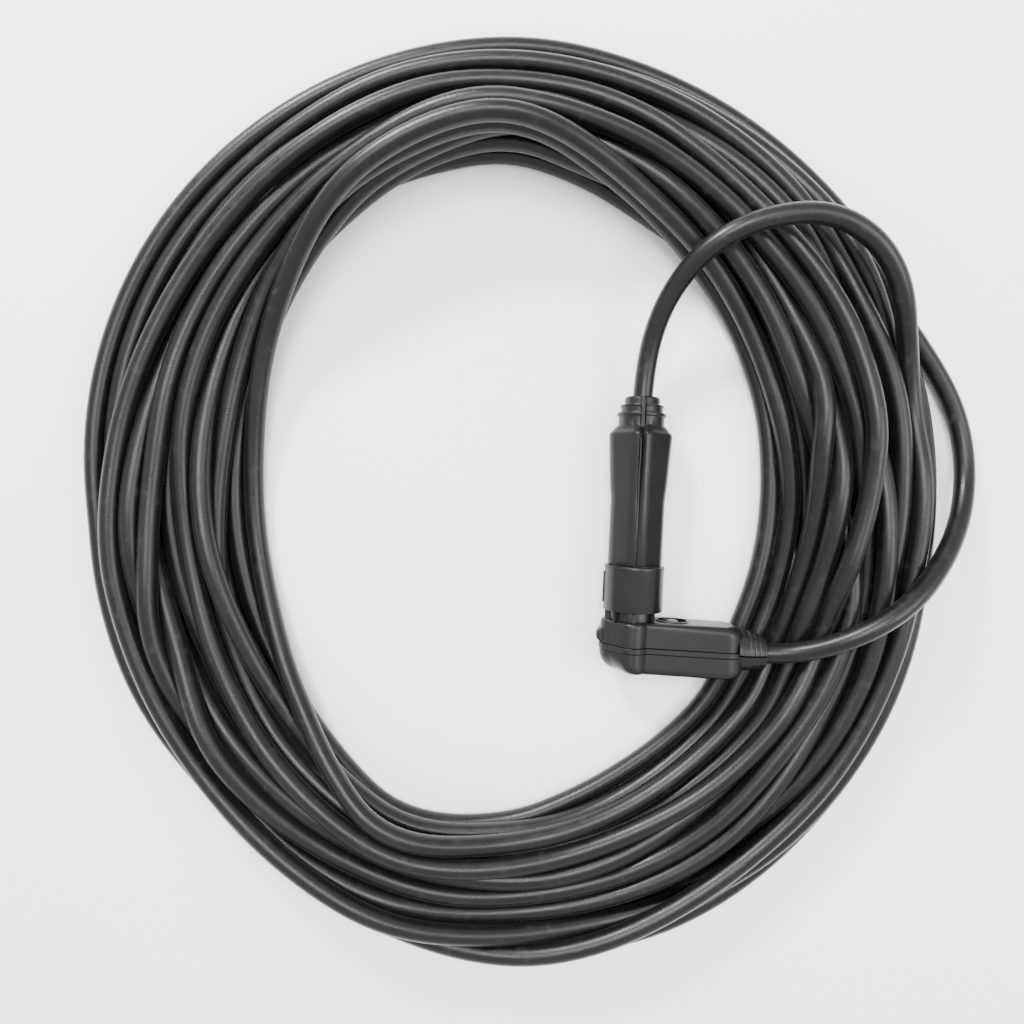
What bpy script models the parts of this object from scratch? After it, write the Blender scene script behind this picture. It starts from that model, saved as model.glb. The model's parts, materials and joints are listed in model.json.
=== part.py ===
"""A shore power cord for a caravan: a long round rubber cable laid down in an oval coil, with the straight
plug on one end pushed into the angled socket on the other. Lengths are in millimetres and become metres
as the meshes are made. The standing surface is z = 0."""

import math

import bmesh
import bpy
from mathutils import Matrix, Vector

MM = 0.001

# Clearances
FIT = 0.3  # between pieces that touch
RUN = 0.4  # between pieces that turn or slide on each other
STEP = 0.05  # run of a step face along its axis

# Cable
CORD_D = 11.0
CORE_D = 2.9
CORE_LAY_R = 2.25  # the cores' distance from the cable's middle
CORD_R = CORD_D / 2
CORE_R = CORE_D / 2
CORD_BORE_R = CORD_R + RUN
GLAND_R = CORD_R + 2.7
TUBE_RESOLUTION = 3
CORE_RESOLUTION = 2

# Clamp bar over the cable, with an ear and a screw on each side
CLAMP_HALF = 3.4
CLAMP_LIFT = 0.6  # how far its flat underside stays off the bosses' level
CLAMP_EAR_TOP = 3.0
CLAMP_HUMP_R = CORD_BORE_R + 1.1
CLAMP_SCREW_ACROSS = CORD_R + 3.1
CLAMP_EAR = CLAMP_SCREW_ACROSS + 1.9
CLAMP_SCREW_R = 1.2
CLAMP_SCREW_HEAD_R = 1.9
CLAMP_ARC = 8  # steps round each of its arcs

# Where the mated pair lies: the mating axis at the socket's face, and how the pair is turned
PAIR_AT = (55.8, -60.4, 18.0)
PAIR_TURN_DEG = -2.5
PAIR_ROLL_DEG = -5.4

# Pins and contacts
PIN_R = 2.0
PIN_TIP_R = PIN_R - 0.8
PIN_BACK_R = 3.0
PIN_CIRCLE_R = 5.2
PIN_ANGLES = {"earth": 0.0, "line": 120.0, "neutral": 240.0}
CONTACT_R = 2.85
WIRE_BORE_R = CORE_R + FIT
TERMINAL_SCREW_R = 1.0
TERMINAL_REACH = 4.0  # how far out its bore runs

# Plug, along the mating axis from the socket's face
SHROUD_MOUTH = 8.0
SHROUD_R = 13.7
SHROUD_WALL = 2.1
GROOVE_START = 27.6
GROOVE_DEPTH = 0.8  # the coupling ring's groove
INSERT_START = 29.1
INSERT_FLANGE_START = 36.3
INSERT_FLANGE_END = 38.7
INSERT_FLANGE_PROUD = 1.1
INSERT_END = 46.6
PIN_END = 56.0
PLUG_TERMINAL_AT = 53.0
BODY_START = 30.4
BODY_ROUND = 8.0
BODY_BOTTOM_SIDE = 12.85
BODY_WAIST = 68.0
BODY_CHEST = 80.0
BODY_SHOULDER = 103.6
NOSE_START = BODY_SHOULDER + 4.0
# Each step of the nose: how far its radius is over the cable's, and its length
NOSE_STEPS = ((7.1, 4.9), (8.0, 1.8), (6.0, 3.4), (6.5, 1.0), (4.2, 4.6))
PLUG_SLIT = 1.6  # half the gap between the nose's halves
SEAM_NOTCH = 1.4
INSERT_R = 10.0
CHAMBER_R = 9.3
CLAMP_POCKET_R = CLAMP_EAR + 1.7
CLAMP_POCKET_HALF = 4.5
BODY_CHEST_SIDE = CLAMP_POCKET_R + 1.5
BODY_SHOULDER_SIDE = CLAMP_POCKET_R + 2.45
PLUG_CLAMP_AT = BODY_SHOULDER - 15.1
PLUG_SHEATH_END = PLUG_CLAMP_AT - 8.5
PLUG_GLAND_START = PLUG_CLAMP_AT + CLAMP_POCKET_HALF + 0.4
PLUG_GLAND_END = NOSE_START - 1.0
SHELL_SCREWS = ((52.0, -12.0), (BODY_SHOULDER - 5.6, -13.2))  # along the plug, and below its axis
SHELL_SCREW_R = 1.3
SHELL_SCREW_HEAD_R = 2.3
CRADLE_HALF = 2.0

# Coupling ring
RING_START = 5.0
RING_END = 30.0
RING_R = 16.3
RING_LIP = 2.0

# Socket: across (u) from the mating axis towards its cable, along (v) that axis, and half its thickness (w)
HEAD_SIDE = 14.6
HEAD_ROUND = 8.0
ARM_HALF = CORD_R + 7.7
ARM_END = 60.5
ARM_END_ROUND = 10.0
WALL = 2.4
COVER_HEIGHT = 13.5
BAND_HEIGHT = 3.4
BASE_HEIGHT = 11.6
BAND_PROUD = 0.5
COVER_FILLET = 2.0
NECK_R = 12.6
NECK_HEIGHT = 4.6
NECK_RIB_R = 15.2
NECK_RIB_ANGLES = (45.0, 90.0, 135.0, 180.0, 225.0, 270.0, 315.0)
BARREL_R = 11.2
BARREL_END = 27.0
BARREL_BACK_R = 10.4
RECESS_AT = 22.2
RECESS_R = 8.2
RECESS_DEPTH = 1.4
# Each step round the cable's entry: how far its radius is over the cable's, and its length
ENTRY_STEPS = ((7.3, 5.2), (6.5, 4.6), (5.1, 3.6), (3.3, 3.0))
ENTRY_START = ARM_END - 3.0
ENTRY_SLIT = 0.8
ENTRY_R = CORD_R + ENTRY_STEPS[0][0]
SOCKET_CLAMP_AT = ARM_END - 18.5
SOCKET_SHEATH_END = SOCKET_CLAMP_AT - 5.4
SOCKET_GLAND_START = ARM_END - 10.0
SOCKET_GLAND_END = ARM_END - 2.8
ENTRY_WALL_START = SOCKET_GLAND_START - 3.1
ENTRY_WALL_END = SOCKET_GLAND_START - 0.6
BACK_SCREW_AT = SOCKET_CLAMP_AT - 11.5
BACK_SCREW_ACROSS = ARM_HALF - 4.3
BACK_SCREW_R = 1.15
BOSS_R = 2.6
BOSS_BORE_R = 1.5
SOCKET_TERMINAL_AT = -11.6
CORE_LANE = 4.6  # how far off the arm's middle the cores run

# Levels in the socket, down the mating axis
COVER_END = -COVER_HEIGHT
BASE_START = COVER_END - BAND_HEIGHT
BASE_END = BASE_START - BASE_HEIGHT
CORD_LEVEL = (COVER_END + BASE_START) / 2
COVER_ROOF = -WALL - 0.2
BASE_FLOOR = BASE_END + WALL

# Coil: its middle, its farthest reach and greatest height, and every 22.5 degrees from +X its inner radius,
# outer radius and height as shares of those
COIL_MIDDLE = (-13.6, 3.0)
COIL_REACH = 265.0
COIL_HEIGHT = 46.0
COIL_SPOKES = (
    (0.528, 0.879, 0.74), (0.543, 0.917, 0.78), (0.596, 0.947, 0.87), (0.672, 0.981, 0.96),
    (0.736, 0.977, 1.00), (0.706, 0.977, 0.98), (0.619, 0.955, 0.89), (0.543, 0.951, 0.83),
    (0.498, 0.891, 0.78), (0.506, 0.898, 0.78), (0.585, 0.909, 0.80), (0.687, 0.947, 0.87),
    (0.672, 1.000, 0.87), (0.611, 0.955, 0.83), (0.592, 0.966, 0.72), (0.543, 0.894, 0.65),
)
# Its cross-section: how far across the winding, and the share of its height
COIL_PROFILE = (
    (0.0, 0.0), (0.0, 0.22), (0.16, 0.29), (0.33, 0.72), (0.46, 0.94), (0.62, 1.0),
    (0.78, 0.88), (0.91, 0.6), (1.0, 0.24), (1.0, 0.0),
)
COIL_SIDES = 48

# Leads between the connectors and the coil
PLUG_LEAD_ROUTE = (
    (62.8, 78.4, 18.6), (65.0, 93.8, 22.5), (70.8, 111.8, 30.0), (81.2, 128.4, 39.0),
    (95.2, 140.2, 47.0), (112.2, 148.0, 51.3), (137.0, 152.4, 52.3), (155.2, 150.4, 51.6),
    (171.2, 142.8, 49.4), (185.2, 129.4, 45.2), (194.2, 113.8, 39.5), (201.1, 94.4, 29.7),
)
SOCKET_LEAD_ROUTE = (
    (139.2, -78.5, 27.0), (152.2, -75.4, 32.6), (165.2, -69.8, 38.6), (180.2, -61.8, 42.4),
    (195.8, -51.7, 42.0), (208.2, -41.7, 38.2), (219.7, -30.4, 32.0), (230.7, -17.2, 24.5),
    (239.7, -2.7, 17.0), (245.2, 12.8, 11.0), (246.8, 29.8, 7.4), (244.2, 47.8, 6.0),
    (238.2, 64.8, 5.8), (229.2, 80.8, 5.8), (217.8, 97.8, 5.8),
)
ROUTE_SPACING = 26.0

COLOURS = {
    "cable": ((0.030, 0.030, 0.031, 1.0), 0.45, 0.0),
    "shell": ((0.034, 0.034, 0.035, 1.0), 0.5, 0.0),
    "insert": ((0.05, 0.05, 0.052, 1.0), 0.6, 0.0),
    "seal": ((0.015, 0.015, 0.015, 1.0), 0.8, 0.0),
    "brass": ((0.72, 0.53, 0.24, 1.0), 0.3, 1.0),
    "steel": ((0.62, 0.62, 0.63, 1.0), 0.35, 1.0),
    "brown": ((0.16, 0.07, 0.03, 1.0), 0.5, 0.0),
    "blue": ((0.02, 0.08, 0.45, 1.0), 0.5, 0.0),
    "green": ((0.05, 0.32, 0.06, 1.0), 0.5, 0.0),
}
CORE_COLOURS = {"line": "brown", "neutral": "blue", "earth": "green"}

# Frames whose Z runs along the mating axis (v) and along the socket's cable (u)
ALONG_V = Matrix(((1, 0, 0, 0), (0, 0, 1, 0), (0, -1, 0, 0), (0, 0, 0, 1)))
ALONG_U = Matrix(((0, 0, 1, 0), (1, 0, 0, 0), (0, 1, 0, 0), (0, 0, 0, 1)))


def clear_scene():
    for thing in list(bpy.data.objects):
        bpy.data.objects.remove(thing, do_unlink=True)


def material(name):
    if name in bpy.data.materials:
        return bpy.data.materials[name]
    colour, roughness, metallic = COLOURS[name]
    made = bpy.data.materials.new(name)
    made.use_nodes = True
    shader = made.node_tree.nodes["Principled BSDF"]
    shader.inputs["Base Color"].default_value = colour
    shader.inputs["Roughness"].default_value = roughness
    shader.inputs["Metallic"].default_value = metallic
    return made


def empty(name, parent=None, at=(0, 0, 0)):
    made = bpy.data.objects.new(name, None)
    bpy.context.collection.objects.link(made)
    made.location = Vector(at) * MM
    made.parent = parent
    return made


def mesh_object(name, bm, colour, parent):
    """An object from a bmesh in millimetres, its faces turned outwards."""
    bmesh.ops.scale(bm, vec=(MM, MM, MM), verts=bm.verts)
    bmesh.ops.triangulate(bm, faces=bm.faces)
    bmesh.ops.recalc_face_normals(bm, faces=bm.faces)
    mesh = bpy.data.meshes.new(name)
    bm.to_mesh(mesh)
    bm.free()
    mesh.shade_smooth()
    mesh.set_sharp_from_angle(angle=math.radians(35))
    mesh.materials.append(material(colour))
    made = bpy.data.objects.new(name, mesh)
    bpy.context.collection.objects.link(made)
    made.parent = parent
    return made


def helper(made):
    """Marks an object as a cutter or an addition, which is no piece of its own."""
    made.hide_render = True
    made.display_type = "WIRE"
    return made


def combine(piece, operation, others):
    for other in others:
        step = piece.modifiers.new(f"{operation.lower()} {other.name}", "BOOLEAN")
        step.operation = operation
        step.solver = "MANIFOLD"
        step.object = other


def cut(piece, *cutters):
    combine(piece, "DIFFERENCE", cutters)


def add(piece, *additions):
    combine(piece, "UNION", additions)


def loft(name, rings, colour, parent, closed=False):
    """A skin over loops with as many points each, with flat ends, or running round to its first loop."""
    bm = bmesh.new()
    loops = [[bm.verts.new(p) for p in ring] for ring in rings]
    pairs = list(zip(loops, loops[1:]))
    if closed:
        pairs.append((loops[-1], loops[0]))
    for low, high in pairs:
        for i in range(len(low)):
            j = (i + 1) % len(low)
            bm.faces.new((low[i], low[j], high[j], high[i]))
    if not closed:
        bm.faces.new(loops[0])
        bm.faces.new(loops[-1])
    return mesh_object(name, bm, colour, parent)


def circle(radius, height, frame, sides):
    points = []
    for i in range(sides):
        angle = math.tau * (i + 0.5) / sides
        points.append(frame @ Vector((radius * math.cos(angle), radius * math.sin(angle), height)))
    return points


def stack(name, stations, colour, parent, frame=ALONG_V, sides=16):
    """A solid of revolution, from (height, radius) stations up its axis."""
    rings = [circle(radius, height, frame, sides) for height, radius in stations]
    return loft(name, rings, colour, parent)


def collar(name, profile, colour, parent, frame=ALONG_V, sides=32):
    """A ring turned from a closed (radius, height) outline that stays off its axis."""
    rings = []
    for i in range(sides):
        angle = math.tau * (i + 0.5) / sides
        rings.append([frame @ Vector((r * math.cos(angle), r * math.sin(angle), h)) for r, h in profile])
    return loft(name, rings, colour, parent, closed=True)


def block(name, low, high, colour, parent):
    rings = []
    for z in (low[2], high[2]):
        rings.append([(low[0], low[1], z), (high[0], low[1], z), (high[0], high[1], z), (low[0], high[1], z)])
    return loft(name, rings, colour, parent)


def extruded(name, outline, start, end, colour, parent, frame):
    rings = [[frame @ Vector((x, y, z)) for x, y in outline] for z in (start, end)]
    return loft(name, rings, colour, parent)


def steps_of(start, steps):
    """(height, radius) stations of a stepped nose round the cable."""
    stations = []
    height = start
    for over_cable, length in steps:
        radius = CORD_R + over_cable
        stations += [(height + STEP, radius), (height + length, radius)]
        height += length
    return stations


def square_reach(side, rounding, angle):
    """How far a rounded square with its corners at 0, 90, 180 and 270 degrees reaches at an angle."""
    off = abs((angle - math.pi / 4 + math.pi / 4) % (math.pi / 2) - math.pi / 4)
    if side * math.tan(off) <= side - rounding:
        return side / math.cos(off)
    centre = side - rounding
    along = centre * (math.cos(off) + math.sin(off))
    return along + math.sqrt(along * along - 2 * centre * centre + rounding * rounding)


def half_ring(height, reach, gap, notch, frame, sides=26):
    """The half of a section that lies beyond x = gap, its seam corners set back by the notch."""
    points = []
    limit = math.acos(gap / reach(math.pi / 2))
    for i in range(sides + 1):
        angle = limit - 2 * limit * i / sides
        if i in (0, sides):
            x, y = gap, (reach(angle) - notch) * math.sin(angle)
        else:
            x, y = reach(angle) * math.cos(angle), reach(angle) * math.sin(angle)
        points.append(frame @ Vector((x, y, height)))
    return points


def half_stack(name, stations, gap, colour, parent, frame, sides=16):
    rings = [half_ring(height, lambda _, r=r: r, gap, 0.0, frame, sides) for height, r in stations]
    return loft(name, rings, colour, parent)


def on_circle(radius, angle_deg):
    angle = math.radians(angle_deg)
    return radius * math.cos(angle), radius * math.sin(angle)


def side_frame(u, v, w, direction):
    """A frame at a point of the pair whose Z runs along a direction."""
    turn = Vector(direction).to_track_quat("Z", "Y").to_matrix().to_4x4()
    return Matrix.Translation((u, v, w)) @ turn


def smooth_route(points, spacing):
    """Points about a spacing apart on a centripetal Catmull-Rom curve through a route."""
    route = [Vector(p) for p in points]
    route = [route[0] * 2 - route[1]] + route + [route[-1] * 2 - route[-2]]
    found = []
    for a, b, c, d in zip(route, route[1:], route[2:], route[3:]):
        knots = [0.0]
        for p, q in ((a, b), (b, c), (c, d)):
            knots.append(knots[-1] + math.sqrt((q - p).length))
        k0, k1, k2, k3 = knots
        count = max(1, round((c - b).length / spacing))
        for i in range(count):
            t = k1 + (k2 - k1) * i / count
            ab = a * ((k1 - t) / (k1 - k0)) + b * ((t - k0) / (k1 - k0))
            bc = b * ((k2 - t) / (k2 - k1)) + c * ((t - k1) / (k2 - k1))
            cd = c * ((k3 - t) / (k3 - k2)) + d * ((t - k2) / (k3 - k2))
            abc = ab * ((k2 - t) / (k2 - k0)) + bc * ((t - k0) / (k2 - k0))
            bcd = bc * ((k3 - t) / (k3 - k1)) + cd * ((t - k1) / (k3 - k1))
            found.append(abc * ((k2 - t) / (k2 - k1)) + bcd * ((t - k1) / (k2 - k1)))
    found.append(route[-2])
    return found


def tube(name, points, radius, resolution, colour, parent):
    """A round tube along points, as a bevelled curve with closed ends."""
    curve = bpy.data.curves.new(name, "CURVE")
    curve.dimensions = "3D"
    curve.bevel_depth = radius * MM
    curve.bevel_resolution = resolution
    curve.use_fill_caps = True
    spline = curve.splines.new("POLY")
    spline.points.add(len(points) - 1)
    for knot, point in zip(spline.points, points):
        knot.co = (*(Vector(point) * MM), 1.0)
    curve.materials.append(material(colour))
    made = bpy.data.objects.new(name, curve)
    bpy.context.collection.objects.link(made)
    made.parent = parent
    return made


def plug_reach(side):
    return lambda angle: square_reach(side, BODY_ROUND, angle)


def plug_cavity(parent):
    """The hollow down the plug: shroud, insert seat, wiring chamber, clamp pocket, gland seat, cable bore."""
    shroud_bore = SHROUD_R - SHROUD_WALL
    seat = INSERT_R + FIT
    wide_seat = seat + INSERT_FLANGE_PROUD
    levels = (
        (SHROUD_MOUTH - 1, INSERT_START - FIT, shroud_bore),
        (INSERT_START - FIT + STEP, INSERT_FLANGE_START - FIT, seat),
        (INSERT_FLANGE_START - FIT + STEP, INSERT_FLANGE_END + FIT, wide_seat),
        (INSERT_FLANGE_END + FIT + STEP, INSERT_END + RUN, seat),
        (INSERT_END + RUN + STEP, PLUG_CLAMP_AT - CLAMP_POCKET_HALF - 3, CHAMBER_R),
        (PLUG_CLAMP_AT - CLAMP_POCKET_HALF, PLUG_CLAMP_AT + CLAMP_POCKET_HALF, CLAMP_POCKET_R),
        (PLUG_CLAMP_AT + CLAMP_POCKET_HALF + STEP, PLUG_GLAND_END + RUN, GLAND_R + FIT),
        (PLUG_GLAND_END + RUN + STEP, NOSE_START + 20, CORD_BORE_R),
    )
    stations = []
    for start, end, radius in levels:
        stations += [(start, radius), (end, radius)]
    return helper(stack("plug_hollow", stations, "shell", parent, sides=28))


def plug_shell(name, side, hollow, parent):
    """One half of the plug's casing; side is +1 for the right half and -1 for the left."""
    frame = Matrix(((side, 0, 0, 0), (0, 0, 1, 0), (0, 1, 0, 0), (0, 0, 0, 1)))
    gap = FIT / 2
    groove_r = SHROUD_R - GROOVE_DEPTH
    rings = []
    for height, radius in (
        (SHROUD_MOUTH, SHROUD_R), (GROOVE_START, SHROUD_R),
        (GROOVE_START + STEP, groove_r), (BODY_START, groove_r),
    ):
        rings.append(half_ring(height, lambda _, r=radius: r, gap, 0.0, frame))
    for height, body_side in (
        (BODY_START + STEP, BODY_BOTTOM_SIDE), (BODY_WAIST - 3, BODY_BOTTOM_SIDE),
        (BODY_WAIST + 4, (BODY_BOTTOM_SIDE + BODY_CHEST_SIDE) / 2),
        (BODY_CHEST, BODY_CHEST_SIDE), (BODY_SHOULDER - 2.5, BODY_SHOULDER_SIDE),
        (BODY_SHOULDER, BODY_SHOULDER_SIDE - 0.5),
    ):
        share = (height - BODY_START) / (BODY_SHOULDER - BODY_START)
        rings.append(half_ring(height, plug_reach(body_side), gap, SEAM_NOTCH * (0.3 + 0.7 * share), frame))
    nose = steps_of(NOSE_START, NOSE_STEPS)
    for height, radius in [(NOSE_START, nose[0][1])] + nose:
        rings.append(half_ring(height, lambda _, r=radius: r, PLUG_SLIT, 0.0, frame))
    shell = loft(name, rings, "shell", parent)
    cut(shell, hollow)
    return shell


def plug_shell_details(left, right, parent):
    """The screws' holes, the bosses for the clamp, and the cradle under the cable."""
    shank = SHELL_SCREW_R + FIT
    well = SHELL_SCREW_HEAD_R + 0.35
    seat = 3.0
    for i, (v, w) in enumerate(SHELL_SCREWS, 1):
        across = side_frame(0, v, w, (1, 0, 0))
        hole = ((-5.2, shank), (2.0, shank))
        sunk = ((-2.0, shank), (seat, shank), (seat + STEP, well), (12.0, well))
        cut(left, helper(stack(f"shell_screw_bore_{i}", hole, "shell", parent, across, 12)))
        cut(right, helper(stack(f"shell_screw_well_{i}", sunk, "shell", parent, across, 12)))
        screw = (
            (-4.8, SHELL_SCREW_R), (seat + FIT, SHELL_SCREW_R), (seat + FIT + STEP, SHELL_SCREW_HEAD_R),
            (seat + 1.8, SHELL_SCREW_HEAD_R), (seat + 2.2, SHELL_SCREW_HEAD_R - 0.6),
        )
        stack(f"plug_shell_screw_{i}", screw, "steel", parent, across, 12)
    cradle = []
    for angle in range(105, 256, 15):
        cradle.append(on_circle(CLAMP_POCKET_R + 0.8, angle))
    for angle in range(255, 104, -15):
        cradle.append(on_circle(CORD_BORE_R, angle))
    start, end = PLUG_CLAMP_AT - CRADLE_HALF, PLUG_CLAMP_AT + CRADLE_HALF
    flat = Matrix(((1, 0, 0, 0), (0, 0, 1, 0), (0, 1, 0, 0), (0, 0, 0, 1)))
    add(left, helper(extruded("plug_cradle", cradle, start, end, "shell", parent, flat)))
    for sign in (-1, 1):
        across = side_frame(0, PLUG_CLAMP_AT, sign * CLAMP_SCREW_ACROSS, (1, 0, 0))
        tag = "upper" if sign > 0 else "lower"
        column = ((-10.2, 2.4), (-0.6, 2.4))
        hollow = ((-8.0, CLAMP_SCREW_R + FIT), (1.0, CLAMP_SCREW_R + FIT))
        boss = helper(stack(f"plug_boss_{tag}", column, "shell", parent, across, 12))
        bore = helper(stack(f"plug_boss_bore_{tag}", hollow, "shell", parent, across, 10))
        add(left, boss)
        cut(left, bore)


def clamp_bar(name, cable_frame, middle, parent):
    """A saddle over the cable with an ear on each side, extruded along the cable."""
    lift, top = CLAMP_LIFT, CLAMP_EAR_TOP
    start = math.degrees(math.asin(top / CLAMP_HUMP_R))
    inner = math.degrees(math.asin(lift / CORD_BORE_R))
    outline = [(lift, -CLAMP_EAR), (top, -CLAMP_EAR)]
    for i in range(CLAMP_ARC + 1):
        outline.append(on_circle(CLAMP_HUMP_R, -90 + start + (180 - 2 * start) * i / CLAMP_ARC))
    outline += [(top, CLAMP_EAR), (lift, CLAMP_EAR)]
    for i in range(CLAMP_ARC + 1):
        outline.append(on_circle(CORD_BORE_R, 90 - inner - (180 - 2 * inner) * i / CLAMP_ARC))
    bar = extruded(name, outline, middle - CLAMP_HALF, middle + CLAMP_HALF, "insert", parent, cable_frame)
    for sign in (-1, 1):
        hole = cable_frame @ Matrix.Translation((0, sign * CLAMP_SCREW_ACROSS, middle))
        hole = hole @ Matrix.Rotation(math.pi / 2, 4, "Y")
        tag = "a" if sign > 0 else "b"
        through = ((-2, CLAMP_SCREW_R + FIT), (6, CLAMP_SCREW_R + FIT))
        cut(bar, helper(stack(f"{name}_hole_{tag}", through, "insert", parent, hole, 10)))
        screw = (
            (-7.2, CLAMP_SCREW_R), (top + FIT, CLAMP_SCREW_R),
            (top + FIT + STEP, CLAMP_SCREW_HEAD_R), (top + 1.9, CLAMP_SCREW_HEAD_R),
        )
        stack(f"{name}_screw_{tag}", screw, "steel", parent, hole, 10)
    return bar


def terminal_frame(v, angle_deg):
    x, z = on_circle(1.0, angle_deg)
    return side_frame(0, v, 0, (x, 0, z))


def terminal_screw(name, v, angle_deg, outer, parent):
    """A grub screw that presses on the wire, pointing at its contact from outside."""
    ends = ((PIN_CIRCLE_R + WIRE_BORE_R, TERMINAL_SCREW_R), (outer, TERMINAL_SCREW_R))
    stack(name, ends, "steel", parent, terminal_frame(v, angle_deg), 8)


def terminal_bore(name, v, angle_deg, parent):
    radius = TERMINAL_SCREW_R + FIT
    ends = ((PIN_CIRCLE_R, radius), (PIN_CIRCLE_R + TERMINAL_REACH, radius))
    return helper(stack(name, ends, "brass", parent, terminal_frame(v, angle_deg), 8))


def build_plug(pair):
    plug = empty("plug_body", pair)
    hollow = plug_cavity(plug)
    left = plug_shell("plug_shell_left", -1, hollow, plug)
    right = plug_shell("plug_shell_right", 1, hollow, plug)
    plug_shell_details(left, right, plug)

    flange = INSERT_R + INSERT_FLANGE_PROUD
    seat = ((INSERT_START, INSERT_R), (INSERT_FLANGE_START, INSERT_R), (INSERT_FLANGE_START + STEP, flange),
            (INSERT_FLANGE_END, flange), (INSERT_FLANGE_END + STEP, INSERT_R), (INSERT_END, INSERT_R))
    insert = stack("plug_insert", seat, "insert", plug, sides=28)
    for name, angle in PIN_ANGLES.items():
        x, z = on_circle(PIN_CIRCLE_R, angle)
        frame = Matrix.Translation((x, 0, z)) @ ALONG_V
        tip = SHROUD_MOUTH + (3.0 if name == "earth" else 5.0)
        hole = ((INSERT_START - 1, PIN_R + FIT), (INSERT_END + 1, PIN_R + FIT))
        cut(insert, helper(stack(f"pin_hole_{name}", hole, "insert", plug, frame, 12)))
        back = INSERT_END + FIT
        shape = ((tip, PIN_TIP_R), (tip + 1.2, PIN_R), (back, PIN_R), (back + STEP, PIN_BACK_R),
                 (PIN_END, PIN_BACK_R))
        pin = stack(f"plug_pin_{name}", shape, "brass", plug, frame, 14)
        wire_hole = ((PIN_END - 6.5, WIRE_BORE_R), (PIN_END + 1, WIRE_BORE_R))
        cut(pin, helper(stack(f"pin_wire_hole_{name}", wire_hole, "brass", plug, frame, 12)))
        cut(pin, terminal_bore(f"pin_screw_hole_{name}", PLUG_TERMINAL_AT, angle, plug))
        terminal_screw(f"plug_terminal_screw_{name}", PLUG_TERMINAL_AT, angle, CHAMBER_R - RUN, plug)
        lay_x, lay_z = on_circle(CORE_LAY_R, angle)
        lay_start = PLUG_SHEATH_END - 5.0
        halfway = (PIN_END + lay_start + 3.0) / 2
        route = ((x, PIN_END - 5.5, z), (x, PIN_END + 2.0, z), ((x + lay_x) / 2, halfway, (z + lay_z) / 2),
                 (lay_x, lay_start, lay_z), (lay_x, PLUG_SHEATH_END - FIT, lay_z))
        tube(f"plug_core_{name}", smooth_route(route, 4.0), CORE_R, CORE_RESOLUTION, CORE_COLOURS[name], plug)

    right_of_cable = Matrix(((1, 0, 0, 0), (0, 0, 1, 0), (0, -1, 0, 0), (0, 0, 0, 1)))
    clamp_bar("plug_cord_clamp", right_of_cable, PLUG_CLAMP_AT, plug)
    waist = PLUG_GLAND_START + 6.2
    gland = ((CORD_R + FIT, PLUG_GLAND_START), (GLAND_R, PLUG_GLAND_START), (GLAND_R, waist - 0.6),
             (GLAND_R - 0.5, waist), (GLAND_R, waist + 0.6), (GLAND_R - 0.6, PLUG_GLAND_END),
             (CORD_R + FIT, PLUG_GLAND_END))
    collar("plug_cable_gland", gland, "seal", plug, sides=20)
    return plug


def build_ring(plug):
    """The captive coupling ring, whose lip runs in the groove behind the plug's shroud."""
    inner = SHROUD_R + RUN
    lip = SHROUD_R - GROOVE_DEPTH + RUN
    profile = (
        (inner, RING_START + 0.5), (inner + 0.5, RING_START), (RING_R - 0.5, RING_START),
        (RING_R, RING_START + 0.5), (RING_R, RING_END - 1.7), (RING_R + 0.3, RING_END - 1.5),
        (RING_R + 0.3, RING_END - 0.5), (RING_R - 0.2, RING_END), (lip, RING_END),
        (lip, RING_END - RING_LIP), (inner, RING_END - RING_LIP),
    )
    ring = collar("coupling_ring", profile, "shell", plug, sides=36)
    rib_low = (-RING_R - 0.7, RING_START + 4, -1.2)
    rib_high = (-RING_R + 0.8, RING_END - 4, 1.2)
    add(ring, helper(block("ring_rib", rib_low, rib_high, "shell", plug)))
    return ring


def socket_outline(inset):
    """The socket seen along the mating axis: a rounded-square head, and an arm with a round end.
    Every inset gives as many points, which match one another."""
    half = ARM_HALF - inset
    end = ARM_END - inset
    corner = max(ARM_END_ROUND - inset, 0.8)
    head = HEAD_SIDE - inset
    rounding = max(HEAD_ROUND - inset, 0.8)
    points = []
    for quarter, sign in ((-90, -1), (0, 1)):
        for i in range(5):
            x, z = on_circle(corner, quarter + 90 * i / 4)
            points.append((end - corner + x, sign * (half - corner) + z))
    join = math.atan2(half, head * math.sqrt(2) - half)
    count = 26
    for i in range(count + 1):
        angle = join + (math.tau - 2 * join) * i / count
        reach = square_reach(head, rounding, angle)
        points.append((reach * math.cos(angle), reach * math.sin(angle)))
    return points


def socket_ring(v, insets):
    """One level of the socket's skin, each point at its own inset."""
    outlines = {inset: socket_outline(inset) for inset in set(insets)}
    points = []
    for i, inset in enumerate(insets):
        x, z = outlines[inset][i]
        points.append((x, v, z))
    return points


def fillet_inset(radius, depth):
    """How far a quarter-round edge has come in, a depth past where it starts."""
    depth = min(max(depth, 0.0), radius)
    return radius - math.sqrt(radius * radius - depth * depth)


def base_fillets():
    """The base's bottom edge: nearly a dome at the head's end and a small round along the arm."""
    radii = []
    for x, _ in socket_outline(0.0):
        head = min(max((4.0 - x) / 16.0, 0.0), 1.0)
        tail = min(max((x - ARM_END + ARM_END_ROUND) / ARM_END_ROUND, 0.0), 1.0)
        radii.append(3.2 + (BASE_HEIGHT - 4.2) * head + 2.2 * tail)
    return radii


def base_levels(top, bottom, inset):
    radii = base_fillets()
    rings = []
    for share in (0.0, 0.35, 0.6, 0.78, 0.9, 1.0):
        v = top + (bottom - top) * share
        insets = [inset + round(fillet_inset(r, r - (v - bottom)), 3) for r in radii]
        rings.append(socket_ring(v, insets))
    return rings


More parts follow.
